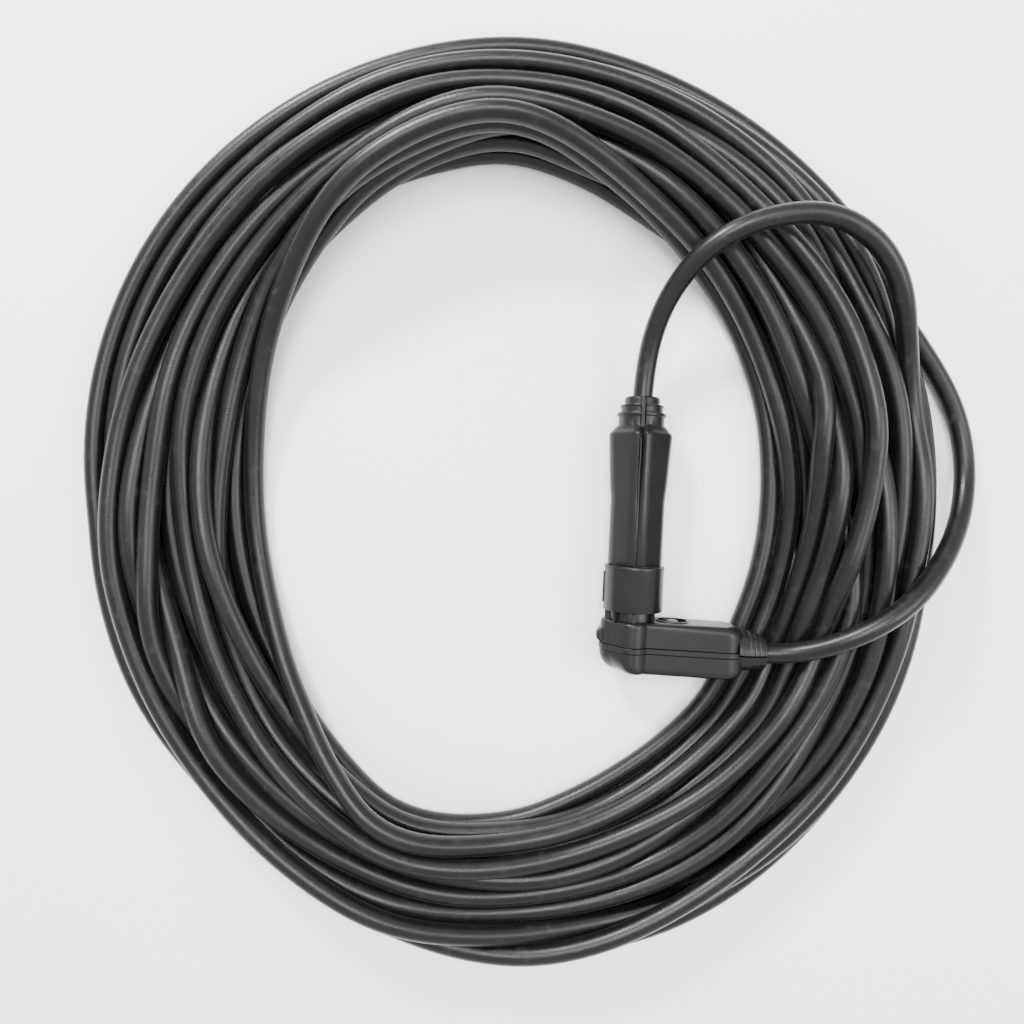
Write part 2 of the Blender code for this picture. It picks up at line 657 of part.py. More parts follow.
def build_socket_shells(pair):
    count = len(socket_outline(0.0))
    cover_rings = [socket_ring(COVER_END, [0.0] * count), socket_ring(-COVER_FILLET, [0.0] * count)]
    for depth in (0.6, 0.9, 1.0):
        edge = round(fillet_inset(COVER_FILLET, COVER_FILLET * depth), 3)
        cover_rings.append(socket_ring(-COVER_FILLET * (1 - depth), [edge * 0.9] * count))
    cover = loft("socket_cover_shell", cover_rings, "shell", pair)
    cover_hollow = [socket_ring(COVER_END - 1, [WALL] * count), socket_ring(COVER_ROOF - 1, [WALL] * count),
                    socket_ring(COVER_ROOF, [WALL + 0.2] * count)]
    base = loft("socket_base_shell", base_levels(BASE_START, BASE_END, 0.0), "shell", pair)
    base_hollow = [socket_ring(BASE_START + 1, [WALL] * count)]
    base_hollow += base_levels(BASE_START, BASE_FLOOR, WALL)

    entry = Matrix.Translation((0, CORD_LEVEL, 0))
    up = entry @ Matrix(((0, 0, 1, 0), (1, 0, 0, 0), (0, 1, 0, 0), (0, 0, 0, 1)))
    down = entry @ Matrix(((0, 0, 1, 0), (-1, 0, 0, 0), (0, 1, 0, 0), (0, 0, 0, 1)))
    nose = [(ENTRY_START, ENTRY_R)] + steps_of(ARM_END - 0.5, ENTRY_STEPS)
    lower_nose = [(ENTRY_START, BASE_HEIGHT - 1.6)]
    lower_nose += [(height, min(radius, BASE_HEIGHT - 0.6) - 0.6) for height, radius in nose[1:]]
    lug = Matrix.Translation((-HEAD_SIDE - 0.7, CORD_LEVEL + 6.0, 0))
    add(cover, helper(stack("socket_lug", ((-4.0, 4.2), (4.0, 4.2)), "shell", pair, lug, 16)))
    cut(cover, helper(loft("cover_hollow", cover_hollow, "shell", pair)))
    cut(base, helper(loft("base_hollow", base_hollow, "shell", pair)))
    add(cover, helper(half_stack("cover_nose", nose, ENTRY_SLIT, "shell", pair, up)))
    add(base, helper(half_stack("base_nose", lower_nose, ENTRY_SLIT, "shell", pair, down)))

    # The wall that holds the gland, in both shells
    low, high = ENTRY_WALL_START, ENTRY_WALL_END
    across = ARM_HALF - 1
    upper = block("cover_wall", (low, COVER_END, -across), (high, COVER_ROOF + 1, across), "shell", pair)
    lower = block("base_wall", (low, BASE_FLOOR - 1, -across), (high, BASE_START, across), "shell", pair)
    add(cover, helper(upper))
    add(base, helper(lower))
    along = Matrix.Translation((0, CORD_LEVEL, 0)) @ ALONG_U
    seat_start, seat_end = SOCKET_GLAND_START - FIT, SOCKET_GLAND_END + FIT
    entry_bore = ((low - 1.4, CORD_BORE_R), (seat_start - STEP, CORD_BORE_R), (seat_start, GLAND_R + FIT),
                  (seat_end, GLAND_R + FIT), (seat_end + STEP, CORD_BORE_R), (ARM_END + 20, CORD_BORE_R))
    bore = helper(stack("entry_bore", entry_bore, "shell", pair, along, 24))
    cut(cover, bore)
    cut(base, bore)
    return cover, base


def build_cover_details(cover, pair):
    neck = stack("socket_neck", ((-1.5, NECK_R), (NECK_HEIGHT, NECK_R)), "shell", pair, sides=36)
    add(cover, helper(neck))
    for angle in NECK_RIB_ANGLES:
        low, high = (NECK_R - 1, -0.8, -0.9), (NECK_RIB_R, NECK_HEIGHT, 0.9)
        rib = block(f"neck_rib_{angle:.0f}", low, high, "shell", pair)
        rib.rotation_euler = (0, -math.radians(angle), 0)
        add(cover, helper(rib))
    mouth = ((COVER_ROOF - 2, BARREL_R + FIT), (NECK_HEIGHT + 1, BARREL_R + FIT))
    cut(cover, helper(stack("neck_bore", mouth, "shell", pair, sides=32)))

    at = Matrix.Translation((RECESS_AT, 0, 0)) @ ALONG_V
    rim = ((-1.5, RECESS_R + 1.0), (0.3, RECESS_R + 1.0), (0.6, RECESS_R + 0.7))
    add(cover, helper(stack("recess_rim", rim, "shell", pair, at, 28)))
    boss = ((COVER_END - 0.7, BOSS_R), (-1.5, BOSS_R))
    add(cover, helper(stack("recess_boss", boss, "shell", pair, at, 12)))
    well = ((-RECESS_DEPTH, RECESS_R - 0.3), (2.0, RECESS_R))
    cut(cover, helper(stack("recess_well", well, "shell", pair, at, 28)))
    cut(cover, helper(stack("recess_bore", ((COVER_END - 2, 1.6), (1.0, 1.6)), "shell", pair, at, 10)))
    for sign in (-1, 1):
        back = Matrix.Translation((BACK_SCREW_AT, 0, sign * BACK_SCREW_ACROSS)) @ ALONG_V
        tag = "upper" if sign > 0 else "lower"
        boss = ((COVER_END, 2.1), (COVER_ROOF + 0.8, 2.1))
        add(cover, helper(stack(f"cover_boss_{tag}", boss, "shell", pair, back, 12)))
        hole = ((COVER_END - 1, 1.45), (-5.0, 1.45))
        cut(cover, helper(stack(f"cover_hole_{tag}", hole, "shell", pair, back, 10)))


def build_base_details(base, pair):
    at = Matrix.Translation((RECESS_AT, 0, 0)) @ ALONG_V
    boss_top = COVER_END - 0.7 - FIT
    boss = ((BASE_FLOOR - 1, BOSS_R), (boss_top, BOSS_R))
    bore = ((BASE_FLOOR + 1.0, BOSS_BORE_R), (boss_top + 1, BOSS_BORE_R))
    add(base, helper(stack("base_boss", boss, "shell", pair, at, 12)))
    cut(base, helper(stack("base_bore", bore, "shell", pair, at, 10)))
    seat = BASE_END + 1.9
    for sign in (-1, 1):
        tag = "upper" if sign > 0 else "lower"
        back = Matrix.Translation((BACK_SCREW_AT, 0, sign * BACK_SCREW_ACROSS)) @ ALONG_V
        boss = ((BASE_FLOOR - 0.8, 2.3), (BASE_START, 2.3))
        add(base, helper(stack(f"back_boss_{tag}", boss, "shell", pair, back, 12)))
        hole = ((BASE_END - 1, BOSS_R), (seat, BOSS_R),
                (seat + STEP, BOSS_BORE_R), (BASE_START + 1, BOSS_BORE_R))
        cut(base, helper(stack(f"back_hole_{tag}", hole, "shell", pair, back, 12)))
        post = Matrix.Translation((SOCKET_CLAMP_AT, 0, sign * CLAMP_SCREW_ACROSS)) @ ALONG_V
        top = CORD_LEVEL + CLAMP_LIFT - FIT
        boss = ((BASE_FLOOR - 0.8, 2.1), (top, 2.1))
        add(base, helper(stack(f"clamp_boss_{tag}", boss, "shell", pair, post, 12)))
        hole = ((BASE_FLOOR + 0.6, BOSS_BORE_R), (top + 1, BOSS_BORE_R))
        cut(base, helper(stack(f"clamp_bore_{tag}", hole, "shell", pair, post, 10)))
    low = (SOCKET_CLAMP_AT - CRADLE_HALF, BASE_FLOOR - 0.8, -7)
    high = (SOCKET_CLAMP_AT + CRADLE_HALF, CORD_LEVEL - 1.5, 7)
    cradle = block("base_cradle", low, high, "shell", pair)
    add(base, helper(cradle))
    along = Matrix.Translation((0, CORD_LEVEL, 0)) @ ALONG_U
    channel = ((SOCKET_CLAMP_AT - 3, CORD_BORE_R), (SOCKET_CLAMP_AT + 3, CORD_BORE_R))
    cut(base, helper(stack("cradle_channel", channel, "shell", pair, along, 24)))


def build_socket_inside(pair):
    flange = BARREL_R + FIT + 0.4
    shape = ((-9.0, BARREL_BACK_R), (-5.7, BARREL_BACK_R), (-5.7 + STEP, flange),
             (COVER_ROOF - FIT - STEP, flange), (COVER_ROOF - FIT, BARREL_R), (BARREL_END - 0.8, BARREL_R),
             (BARREL_END, BARREL_R - 0.8))
    insert = stack("socket_insert", shape, "insert", pair, sides=32)
    for name, angle in PIN_ANGLES.items():
        x, z = on_circle(PIN_CIRCLE_R, angle)
        frame = Matrix.Translation((x, 0, z)) @ ALONG_V
        seat = BARREL_END - 1.2
        hole = ((-10.0, CONTACT_R + FIT), (seat, CONTACT_R + FIT), (seat + STEP, PIN_R + RUN),
                (BARREL_END + 1, PIN_R + RUN))
        cut(insert, helper(stack(f"contact_hole_{name}", hole, "insert", pair, frame, 14)))
        shape = ((-14.2, CONTACT_R), (BARREL_END - 1.5, CONTACT_R))
        contact = stack(f"socket_contact_{name}", shape, "brass", pair, frame, 14)
        pin_bore = ((SHROUD_MOUTH + 1.5, PIN_R + 0.2), (BARREL_END, PIN_R + 0.2))
        wire_bore = ((-15.0, WIRE_BORE_R), (-9.0, WIRE_BORE_R))
        cut(contact, helper(stack(f"contact_bore_{name}", pin_bore, "brass", pair, frame, 14)))
        cut(contact, helper(stack(f"contact_wire_{name}", wire_bore, "brass", pair, frame, 12)))
        cut(contact, terminal_bore(f"contact_screw_hole_{name}", SOCKET_TERMINAL_AT, angle, pair))
        terminal_screw(f"socket_terminal_screw_{name}", SOCKET_TERMINAL_AT, angle, BARREL_BACK_R - 1.0, pair)

    sheath, bend_end = SOCKET_SHEATH_END - FIT, SOCKET_SHEATH_END - 3.5
    for name, sign in (("line", 1), ("neutral", -1)):
        x, z = on_circle(PIN_CIRCLE_R, PIN_ANGLES[name])
        lay, out = on_circle(CORE_LAY_R, 30)[::-1]
        lane = sign * CORE_LANE
        route = ((x, -10.0, z), (x, -14.0, z), (x + 1.8, -17.0, z), (x + 6.5, -18.2, lane),
                 (BACK_SCREW_AT - 6, -18.0, lane), (bend_end, CORD_LEVEL + lay, sign * out),
                 (sheath, CORD_LEVEL + lay, sign * out))
        points = smooth_route(route, 4.0)
        tube(f"socket_core_{name}", points, CORE_R, CORE_RESOLUTION, CORE_COLOURS[name], pair)
    x, z = on_circle(PIN_CIRCLE_R, PIN_ANGLES["earth"])
    route = ((x, -10.0, z), (x, -16.0, z), (x + 1.2, -20.3, z + 0.8), (x + 5.0, -23.0, z + 3.2),
             (x + 10.0, -23.4, CORE_LANE), (BACK_SCREW_AT - 5, -23.2, CORE_LANE - 0.2),
             (bend_end, CORD_LEVEL - CORE_LAY_R - 0.2, 0.0), (sheath, CORD_LEVEL - CORE_LAY_R, 0.0))
    tube("socket_core_earth", smooth_route(route, 4.0), CORE_R, CORE_RESOLUTION, CORE_COLOURS["earth"], pair)

    over_cable = Matrix.Translation((0, CORD_LEVEL, 0)) @ ALONG_U
    clamp_bar("socket_cord_clamp", over_cable, SOCKET_CLAMP_AT, pair)
    waist = SOCKET_GLAND_START + 3.5
    gland = ((CORD_R + FIT, SOCKET_GLAND_START), (GLAND_R, SOCKET_GLAND_START), (GLAND_R, waist - 0.6),
             (GLAND_R - 0.5, waist), (GLAND_R, waist + 0.6), (GLAND_R - 0.3, SOCKET_GLAND_END),
             (CORD_R + FIT, SOCKET_GLAND_END))
    collar("socket_cable_gland", gland, "seal", pair, over_cable, sides=20)

    seal = ((BARREL_R + FIT, NECK_HEIGHT + FIT), (SHROUD_R - FIT, NECK_HEIGHT + FIT),
            (SHROUD_R - FIT, SHROUD_MOUTH - FIT), (BARREL_R + FIT, SHROUD_MOUTH - FIT))
    collar("socket_face_seal", seal, "seal", pair, sides=24)

    at = Matrix.Translation((RECESS_AT, 0, 0)) @ ALONG_V
    head = -RECESS_DEPTH + FIT
    screw = ((BASE_FLOOR + 1.6, 1.2), (head, 1.2), (head + STEP, 3.2), (head + 1.1, 3.2), (head + 1.6, 2.5))
    stack("socket_cover_screw_1", screw, "steel", pair, at, 14)
    for i, sign in ((2, 1), (3, -1)):
        back = Matrix.Translation((BACK_SCREW_AT, 0, sign * BACK_SCREW_ACROSS)) @ ALONG_V
        seat = BASE_END + 1.6
        screw = ((BASE_END + 0.2, 2.2), (seat, 2.2), (seat + STEP, BACK_SCREW_R), (-5.6, BACK_SCREW_R))
        stack(f"socket_cover_screw_{i}", screw, "steel", pair, back, 12)


def build_band(pair):
    """The raised sealing band between the socket's two shells, open where the cable goes through."""
    outer = socket_outline(-BAND_PROUD)
    inner = socket_outline(WALL)
    low, high = BASE_START + FIT, COVER_END - FIT
    loops = []
    for points, v in ((outer, low), (outer, high), (inner, high), (inner, low)):
        loops.append([(x, v, z) for x, z in points])
    band = loft("socket_band", loops, "shell", pair, closed=True)
    mouth = Matrix.Translation((0, CORD_LEVEL, 0)) @ ALONG_U
    reach = ENTRY_R + FIT
    start = ENTRY_START - FIT
    opening = ((SOCKET_GLAND_START - 0.5, GLAND_R + FIT), (start, GLAND_R + FIT), (start + STEP, reach),
               (ARM_END + 5, reach))
    cut(band, helper(stack("band_mouth", opening, "shell", pair, mouth, 24)))
    return band


def coil_section(angle):
    """The coil's inner radius, outer radius and height at an angle, on a smooth curve through its spokes."""
    spokes = len(COIL_SPOKES)
    place = angle / math.tau * spokes
    i = math.floor(place)
    t = place - i
    p0, p1, p2, p3 = (COIL_SPOKES[(i + k) % spokes] for k in (-1, 0, 1, 2))
    found = []
    for whole, a, b, c, d in zip((COIL_REACH, COIL_REACH, COIL_HEIGHT), p0, p1, p2, p3):
        share = b + 0.5 * t * (c - a + t * (2 * a - 5 * b + 4 * c - d + t * (3 * (b - c) + d - a)))
        found.append(whole * share)
    return found


def build_coil():
    rings = []
    for i in range(COIL_SIDES):
        angle = math.tau * i / COIL_SIDES
        inner, outer, height = coil_section(angle)
        ring = []
        for across, up in COIL_PROFILE:
            x, y = on_circle(inner + (outer - inner) * across, math.degrees(angle))
            ring.append((COIL_MIDDLE[0] + x, COIL_MIDDLE[1] + y, height * up))
        rings.append(ring)
    return loft("cord_coil", rings, "cable", None, closed=True)


def build_leads(pair_frame, plug):
    """Each lead starts at its cut sheath inside a connector, leaves it straight and ends against the coil."""
    along_plug = (PLUG_SHEATH_END, BODY_SHOULDER - 8.6, BODY_SHOULDER + 6.4, BODY_SHOULDER + 21.4)
    plug_end = [pair_frame @ Vector((0, v, 0)) for v in along_plug]
    route = smooth_route(plug_end + list(PLUG_LEAD_ROUTE), ROUTE_SPACING)
    lead = tube("plug_lead", route, CORD_R, TUBE_RESOLUTION, "cable", plug)
    bpy.context.view_layer.update()
    lead.matrix_parent_inverse = plug.matrix_world.inverted()
    along_socket = (SOCKET_SHEATH_END, ARM_END - 10.5, ARM_END + 3.5, ARM_END + 16.5)
    socket_end = [pair_frame @ Vector((u, CORD_LEVEL, 0)) for u in along_socket]
    route = smooth_route(socket_end + list(SOCKET_LEAD_ROUTE), ROUTE_SPACING)
    tube("socket_lead", route, CORD_R, TUBE_RESOLUTION, "cable", None)


def main():
    clear_scene()
    pair = empty("connector_pair", at=PAIR_AT)
    roll = Matrix.Rotation(math.radians(PAIR_ROLL_DEG), 4, "Y")
    turn = Matrix.Rotation(math.radians(PAIR_TURN_DEG), 4, "Z") @ roll
    pair.rotation_euler = turn.to_euler()
    pair_frame = Matrix.Translation(PAIR_AT) @ turn
    plug = build_plug(pair)
    build_ring(plug)
    cover, base = build_socket_shells(pair)
    build_cover_details(cover, pair)
    build_base_details(base, pair)
    build_band(pair)
    build_socket_inside(pair)
    build_coil()
    build_leads(pair_frame, plug)


main()
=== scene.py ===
"""Looks of the shore power cord: its cable as one long round cord laid down in a coil, and its connectors."""

import json
import math

import bmesh
import bpy
import numpy as np
from mathutils import Matrix, Vector


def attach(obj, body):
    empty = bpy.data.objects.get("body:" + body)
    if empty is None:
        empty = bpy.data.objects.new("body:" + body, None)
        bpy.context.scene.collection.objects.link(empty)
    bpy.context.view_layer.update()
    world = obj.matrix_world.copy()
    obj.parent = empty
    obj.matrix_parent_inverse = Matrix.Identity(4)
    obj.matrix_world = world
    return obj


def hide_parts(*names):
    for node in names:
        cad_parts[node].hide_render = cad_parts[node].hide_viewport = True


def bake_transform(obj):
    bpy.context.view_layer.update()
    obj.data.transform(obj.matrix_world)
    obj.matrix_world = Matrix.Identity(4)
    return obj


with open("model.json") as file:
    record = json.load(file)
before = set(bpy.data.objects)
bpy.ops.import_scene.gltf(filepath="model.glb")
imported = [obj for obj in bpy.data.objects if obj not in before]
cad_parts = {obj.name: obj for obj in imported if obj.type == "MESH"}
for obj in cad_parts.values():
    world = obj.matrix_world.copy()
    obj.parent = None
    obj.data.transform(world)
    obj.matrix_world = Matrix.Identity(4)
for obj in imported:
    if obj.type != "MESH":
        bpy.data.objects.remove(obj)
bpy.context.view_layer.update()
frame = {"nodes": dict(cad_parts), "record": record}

MM = 0.001
CORD_D = 11.0
CORD_R = CORD_D / 2
CAMERA_AT = (-11.3, 12.1, 436.0)
LOOK_AT = (-11.3, -0.7, 18.0)
WORLD_LIGHT = 1.75
LIGHTS = (  # name, place in metres, side in metres, watts
    ("key", (-0.6, 1.1, 0.8), 0.22, 38),
    ("fill", (1.0, 0.0, 1.15), 0.7, 16),
    ("top", (-0.1, 0.5, 2.0), 0.8, 46),
)
LENS = 26.37
SENSOR = 36.0

# The connector pair: the mating axis at the socket's face, and how the pair is turned
PAIR_AT = (55.8, -60.4, 18.0)
PAIR_TURN = math.radians(-2.5)
PAIR_ROLL = math.radians(-5.4)
CORD_LEVEL = -15.2
PAIR = Matrix.Translation(PAIR_AT) @ Matrix.Rotation(PAIR_TURN, 4, "Z") @ Matrix.Rotation(PAIR_ROLL, 4, "Y")
ALONG_V = Matrix(((1, 0, 0, 0), (0, 0, 1, 0), (0, -1, 0, 0), (0, 0, 0, 1)))
ALONG_U = Matrix(((0, 0, 1, 0), (1, 0, 0, 0), (0, 1, 0, 0), (0, 0, 0, 1)))

# Coil: its middle, and every 22.5 degrees from +X its inner and outer radius, in millimetres
COIL_MIDDLE = (-13.6, 3.0)
COIL_SPOKES = (
    (140, 234), (144, 244), (158, 252), (176, 260), (195, 255), (187, 256), (165, 248), (141, 249),
    (125, 230), (129, 234), (152, 232), (184, 256), (180, 272), (162, 260), (157, 264), (144, 239),
)
PLUG_LEAD_ROUTE = (
    (62.8, 78.4, 18.6), (65.0, 93.8, 22.5), (70.8, 111.8, 30.0), (81.2, 128.4, 39.0), (95.2, 140.2, 47.0),
    (112.2, 148.0, 51.3), (137.0, 152.4, 52.3), (155.2, 150.4, 51.6), (171.2, 142.8, 49.4),
    (185.2, 129.4, 45.2), (194.2, 113.8, 39.5), (201.1, 94.4, 29.7),
)
SOCKET_LEAD_ROUTE = (
    (139.2, -78.5, 27.0), (152.2, -75.4, 32.6), (165.2, -69.8, 38.6), (180.2, -61.8, 42.4),
    (195.8, -51.7, 42.0), (208.2, -41.7, 38.2), (219.7, -30.4, 32.0), (230.7, -17.2, 24.5),
    (239.7, -2.7, 17.0), (245.2, 12.8, 11.0), (246.8, 29.8, 7.4), (244.2, 47.8, 6.0),
    (238.2, 64.8, 5.8), (229.2, 80.8, 5.8), (217.8, 97.8, 5.8),
)

TURNS = 18
STEPS = 180  # points round a turn
SEED = 11
WANDER = 0.16  # how far a strand's wish to lie inside or outside drifts from knot to knot
SWING = 1.1  # and how far it swings in and out as the turns go on
SWING_PACE = 0.31
KNOTS = 6  # places round a turn where the strands' order across the winding is set
PINNED_HEAD = 14  # points of each lead that the coil's settling sees as fixed
PINNED_TAIL = 10
SETTLING = 1100  # rounds in which the strands drop and slide
FREEING = 400  # rounds in which they only stop lying in each other
FAST_DROP, SLOW_DROP, LAST_DROP = 0.6, 0.3, 0.02  # how far a strand drops in a round
SLOW_FROM = 600
DUCK_FROM, DUCK_EVERY = 500, 25  # rounds in which the strands look for what lies across them
PULL = 0.03  # share of the way to its place that a strand slides in a round
STRAND_GAP = 0.3
PUSH = 2.5  # the most that two strands push each other in one go
LIFT, YIELD = 0.85, 0.15  # shares of a push that the upper and the lower strand take
LAYER = 9.5  # how much higher each layer of strands lies
THINNEST, THICKEST = 0.3, 3.2  # layers that the winding may have
ACROSS = 24  # places across the winding where the room is looked at
DIVE = 12  # points before and after something low over which a strand dips under it
DIVE_R = 50.0
OPEN = 1e3  # the height of a ceiling where nothing lies across the coil
FAR_OFF = 1e6  # where the points that fill up the last turn are, so that they touch nothing
FIRST_STACK = 1.04  # how far apart the turns start above each other, in cable thicknesses
AIM_EASE = 120  # times that the strands' places are smoothed before they settle
SLIDE_EASE, FALL_EASE = 8, 5  # times in a round while the strands settle, sideways and in height
NEAR_EASE = 4  # times that the height is smoothed at last where the coil leaves the plug's lead
SPILL_IN = 2.0  # how far a strand may be pushed past the winding's inner and outer lines
SPILL_OUT = 5.0
RUN_ON = 20  # points over which the coil takes up the direction of each lead, seen from above
LEVEL_ON = 7  # and points over which it takes up the lead's fall
EASE_ON = 34  # points over which it swings from each lead to its place in the winding
HEAD_NEAR, TAIL_NEAR = 60, 40  # points of the leads that their part in the winding is read from
OVER_FROM, ROUND_FROM = 30, 14  # the points of the plug's and the socket's lead that may lie over the coil

# Where the cable's sheath ends in the socket and in the plug, and the nose on the socket's arm, in millimetres
SHEATH_U = 36.6
PLUG_SHEATH_V = 80.0
NOSE_FROM, NOSE_TO, NOSE_EVERY = 40, 73, 3
NOSE_R = 12.8
LEAD_SPACING = 4.0


def smooth_route(points, spacing):
    """Points about a spacing apart on a centripetal Catmull-Rom curve through a route."""
    route = [Vector(p) for p in points]
    route = [route[0] * 2 - route[1]] + route + [route[-1] * 2 - route[-2]]
    found = []
    for a, b, c, d in zip(route, route[1:], route[2:], route[3:]):
        knots = [0.0]
        for p, q in ((a, b), (b, c), (c, d)):
            knots.append(knots[-1] + math.sqrt((q - p).length))
        k0, k1, k2, k3 = knots
        count = max(1, round((c - b).length / spacing))
        for i in range(count):
            t = k1 + (k2 - k1) * i / count
            ab = a * ((k1 - t) / (k1 - k0)) + b * ((t - k0) / (k1 - k0))
            bc = b * ((k2 - t) / (k2 - k1)) + c * ((t - k1) / (k2 - k1))
            cd = c * ((k3 - t) / (k3 - k2)) + d * ((t - k2) / (k3 - k2))
            abc = ab * ((k2 - t) / (k2 - k0)) + bc * ((t - k0) / (k2 - k0))
            bcd = bc * ((k3 - t) / (k3 - k1)) + cd * ((t - k1) / (k3 - k1))
            found.append(abc * ((k2 - t) / (k2 - k1)) + bcd * ((t - k1) / (k2 - k1)))
    found.append(route[-2])
    return found


def eased(points, passes):
    """The same points with their curve's tight spots eased, both ends left where they are."""
    found = np.array(points, float)
    for _ in range(passes):
        found[1:-1] += 0.25 * (found[:-2] + found[2:] - 2 * found[1:-1])
    return [Vector(p) for p in found]


IN_PLUG = [PAIR @ Vector((0, v, 0)) for v in (PLUG_SHEATH_V, 95.0, 110.0, 125.0)]
IN_SOCKET = [PAIR @ Vector((u, CORD_LEVEL, 0)) for u in (SHEATH_U, 50.0, 64.0, 77.0)]
PLUG_LEAD = eased(smooth_route(IN_PLUG + list(PLUG_LEAD_ROUTE), LEAD_SPACING), 10)
SOCKET_LEAD = eased(smooth_route(IN_SOCKET + list(SOCKET_LEAD_ROUTE), LEAD_SPACING), 14)


def between(t, a, b, c, d):
    """The smooth curve from b to c, with a before them and d after them."""
    return b + 0.5 * t * (c - a + t * (2 * a - 5 * b + 4 * c - d + t * (3 * (b - c) + d - a)))


def spoke_curve(column, angles):
    """One column of the coil's table at each angle, smooth through the spokes."""
    table = np.array([spoke[column] for spoke in COIL_SPOKES], float)
    place = np.mod(angles, math.tau) / math.tau * len(table)
    i = np.floor(place).astype(int)
    t = place - i
    a, b, c, d = (table[(i + k) % len(table)] for k in (-1, 0, 1, 2))
    return between(t, a, b, c, d)


def smoothed(values, passes):
    """The values with each one drawn towards its neighbours, both ends left as they are."""
    for _ in range(passes):
        values[1:-1] += 0.25 * (values[:-2] + values[2:] - 2 * values[1:-1])
    return values


def strand_plan(count):
    """How far across the winding the cord is meant to lie at each point, from 0 at the inside to 1 outside.
    The strands are spread evenly at every knot, and change places between knots."""
    knots = TURNS * KNOTS + 2
    rng = np.random.default_rng(SEED)
    walk = np.cumsum(rng.normal(0, WANDER, knots)) + SWING * np.sin(np.arange(knots) * SWING_PACE)
    wish = np.empty(knots)
    for knot in range(KNOTS):
        mine = np.arange(knot, knots, KNOTS)
        order = np.argsort(np.argsort(walk[mine]))
        wish[mine] = (order + 0.5) / len(mine)
    place = np.arange(count) / STEPS * KNOTS
    i = np.clip(place.astype(int), 0, knots - 2)
    t = place - i
    padded = np.concatenate([[wish[0]], wish, [wish[-1]]])
    a, b, c, d = padded[i], padded[i + 1], padded[i + 2], padded[np.minimum(i + 3, knots + 1)]
    return np.clip(between(t, a, b, c, d), 0, 1)


def soft_step(share):
    return share * share * (3 - 2 * share)


def polar(points):
    """Angles and radii about the coil's middle, and heights; the angles run on without a jump."""
    p = np.array(points, float)
    x = p[:, 0] - COIL_MIDDLE[0]
    y = p[:, 1] - COIL_MIDDLE[1]
    return np.unwrap(np.arctan2(y, x)), np.hypot(x, y), p[:, 2]


def ceiling_over(x, y, obstacles):
    """The most a strand's middle may rise at each place, under things that lie across the coil."""
    found = np.full(len(x), OPEN)
    for px, py, pz, reach in obstacles:
        d2 = (x - px) ** 2 + (y - py) ** 2
        near = d2 < reach * reach
        found[near] = np.minimum(found[near], pz - np.sqrt(reach * reach - d2[near]))
    return found


def roomy(shares, angles, inner, outer, obstacles):
    """Radii for shares across the winding, with fewer strands where something low lies across them."""
    found = np.empty(len(shares))
    across = np.linspace(0, 1, ACROSS)
    for i, share in enumerate(shares):
        r = inner[i] + (outer[i] - inner[i]) * across
        x = COIL_MIDDLE[0] + r * math.cos(angles[i])
        y = COIL_MIDDLE[1] + r * math.sin(angles[i])
        layers = np.clip((ceiling_over(x, y, obstacles) - CORD_R) / LAYER + 1, THINNEST, THICKEST)
        filled = np.concatenate([[0], np.cumsum((layers[1:] + layers[:-1]) / 2)])
        found[i] = np.interp(share * filled[-1], filled, r)
    return found


def things_over_coil():
    """Points of what lies across the coil, each with how near a strand's middle may come to it."""
    found = [(*point, CORD_D + 0.4) for point in PLUG_LEAD[OVER_FROM:] + SOCKET_LEAD[ROUND_FROM:]]
    for u in range(NOSE_FROM, NOSE_TO + 1, NOSE_EVERY):
        found.append((*(PAIR @ Vector((u, CORD_LEVEL, 0))), CORD_R + NOSE_R + 0.6))
    return found


def gentle_ceiling(radius, angles, obstacles):
    """The ceiling over each strand, sloped off so that a strand dips under something in a wide curve."""
    x = COIL_MIDDLE[0] + radius * np.cos(angles)
    y = COIL_MIDDLE[1] + radius * np.sin(angles)
    over = np.maximum(ceiling_over(x, y, obstacles), CORD_R)
    gentle = over.copy()
    for k in range(1, DIVE + 1):
        rise = (k * CORD_D * 0.55) ** 2 / (2 * DIVE_R)
        gentle[k:] = np.minimum(gentle[k:], over[:-k] + rise)
        gentle[:-k] = np.minimum(gentle[:-k], over[k:] + rise)
    return gentle


def push_apart(radius, height):
    """How far each strand is pushed sideways and up by those that it lies in. Points with the same index
    round a turn lie at the same angle, so the strands there are circles, one row for each turn."""
    count = len(radius)
    rows = -(-count // STEPS)
    spare = np.full(rows * STEPS - count, FAR_OFF)
    r = np.concatenate([radius, spare]).reshape(rows, STEPS)
    z = np.concatenate([height, spare]).reshape(rows, STEPS)
    dr = r[:, None] - r[None]
    dz = z[:, None] - z[None]
    gap = np.sqrt(dr * dr + dz * dz) + 1e-6
    push = np.clip(CORD_D + STRAND_GAP - gap, 0, PUSH)
    push[np.arange(rows), np.arange(rows)] = 0
    hits = np.sqrt(np.maximum((push > 0).sum(axis=1), 1))
    push /= gap
    share = np.where(dz > 0, LIFT, YIELD)
    sideways = ((dr * push * 0.5).sum(axis=1) / hits).ravel()[:count]
    up = ((dz * push * share).sum(axis=1) / hits).ravel()[:count]
    return sideways, up


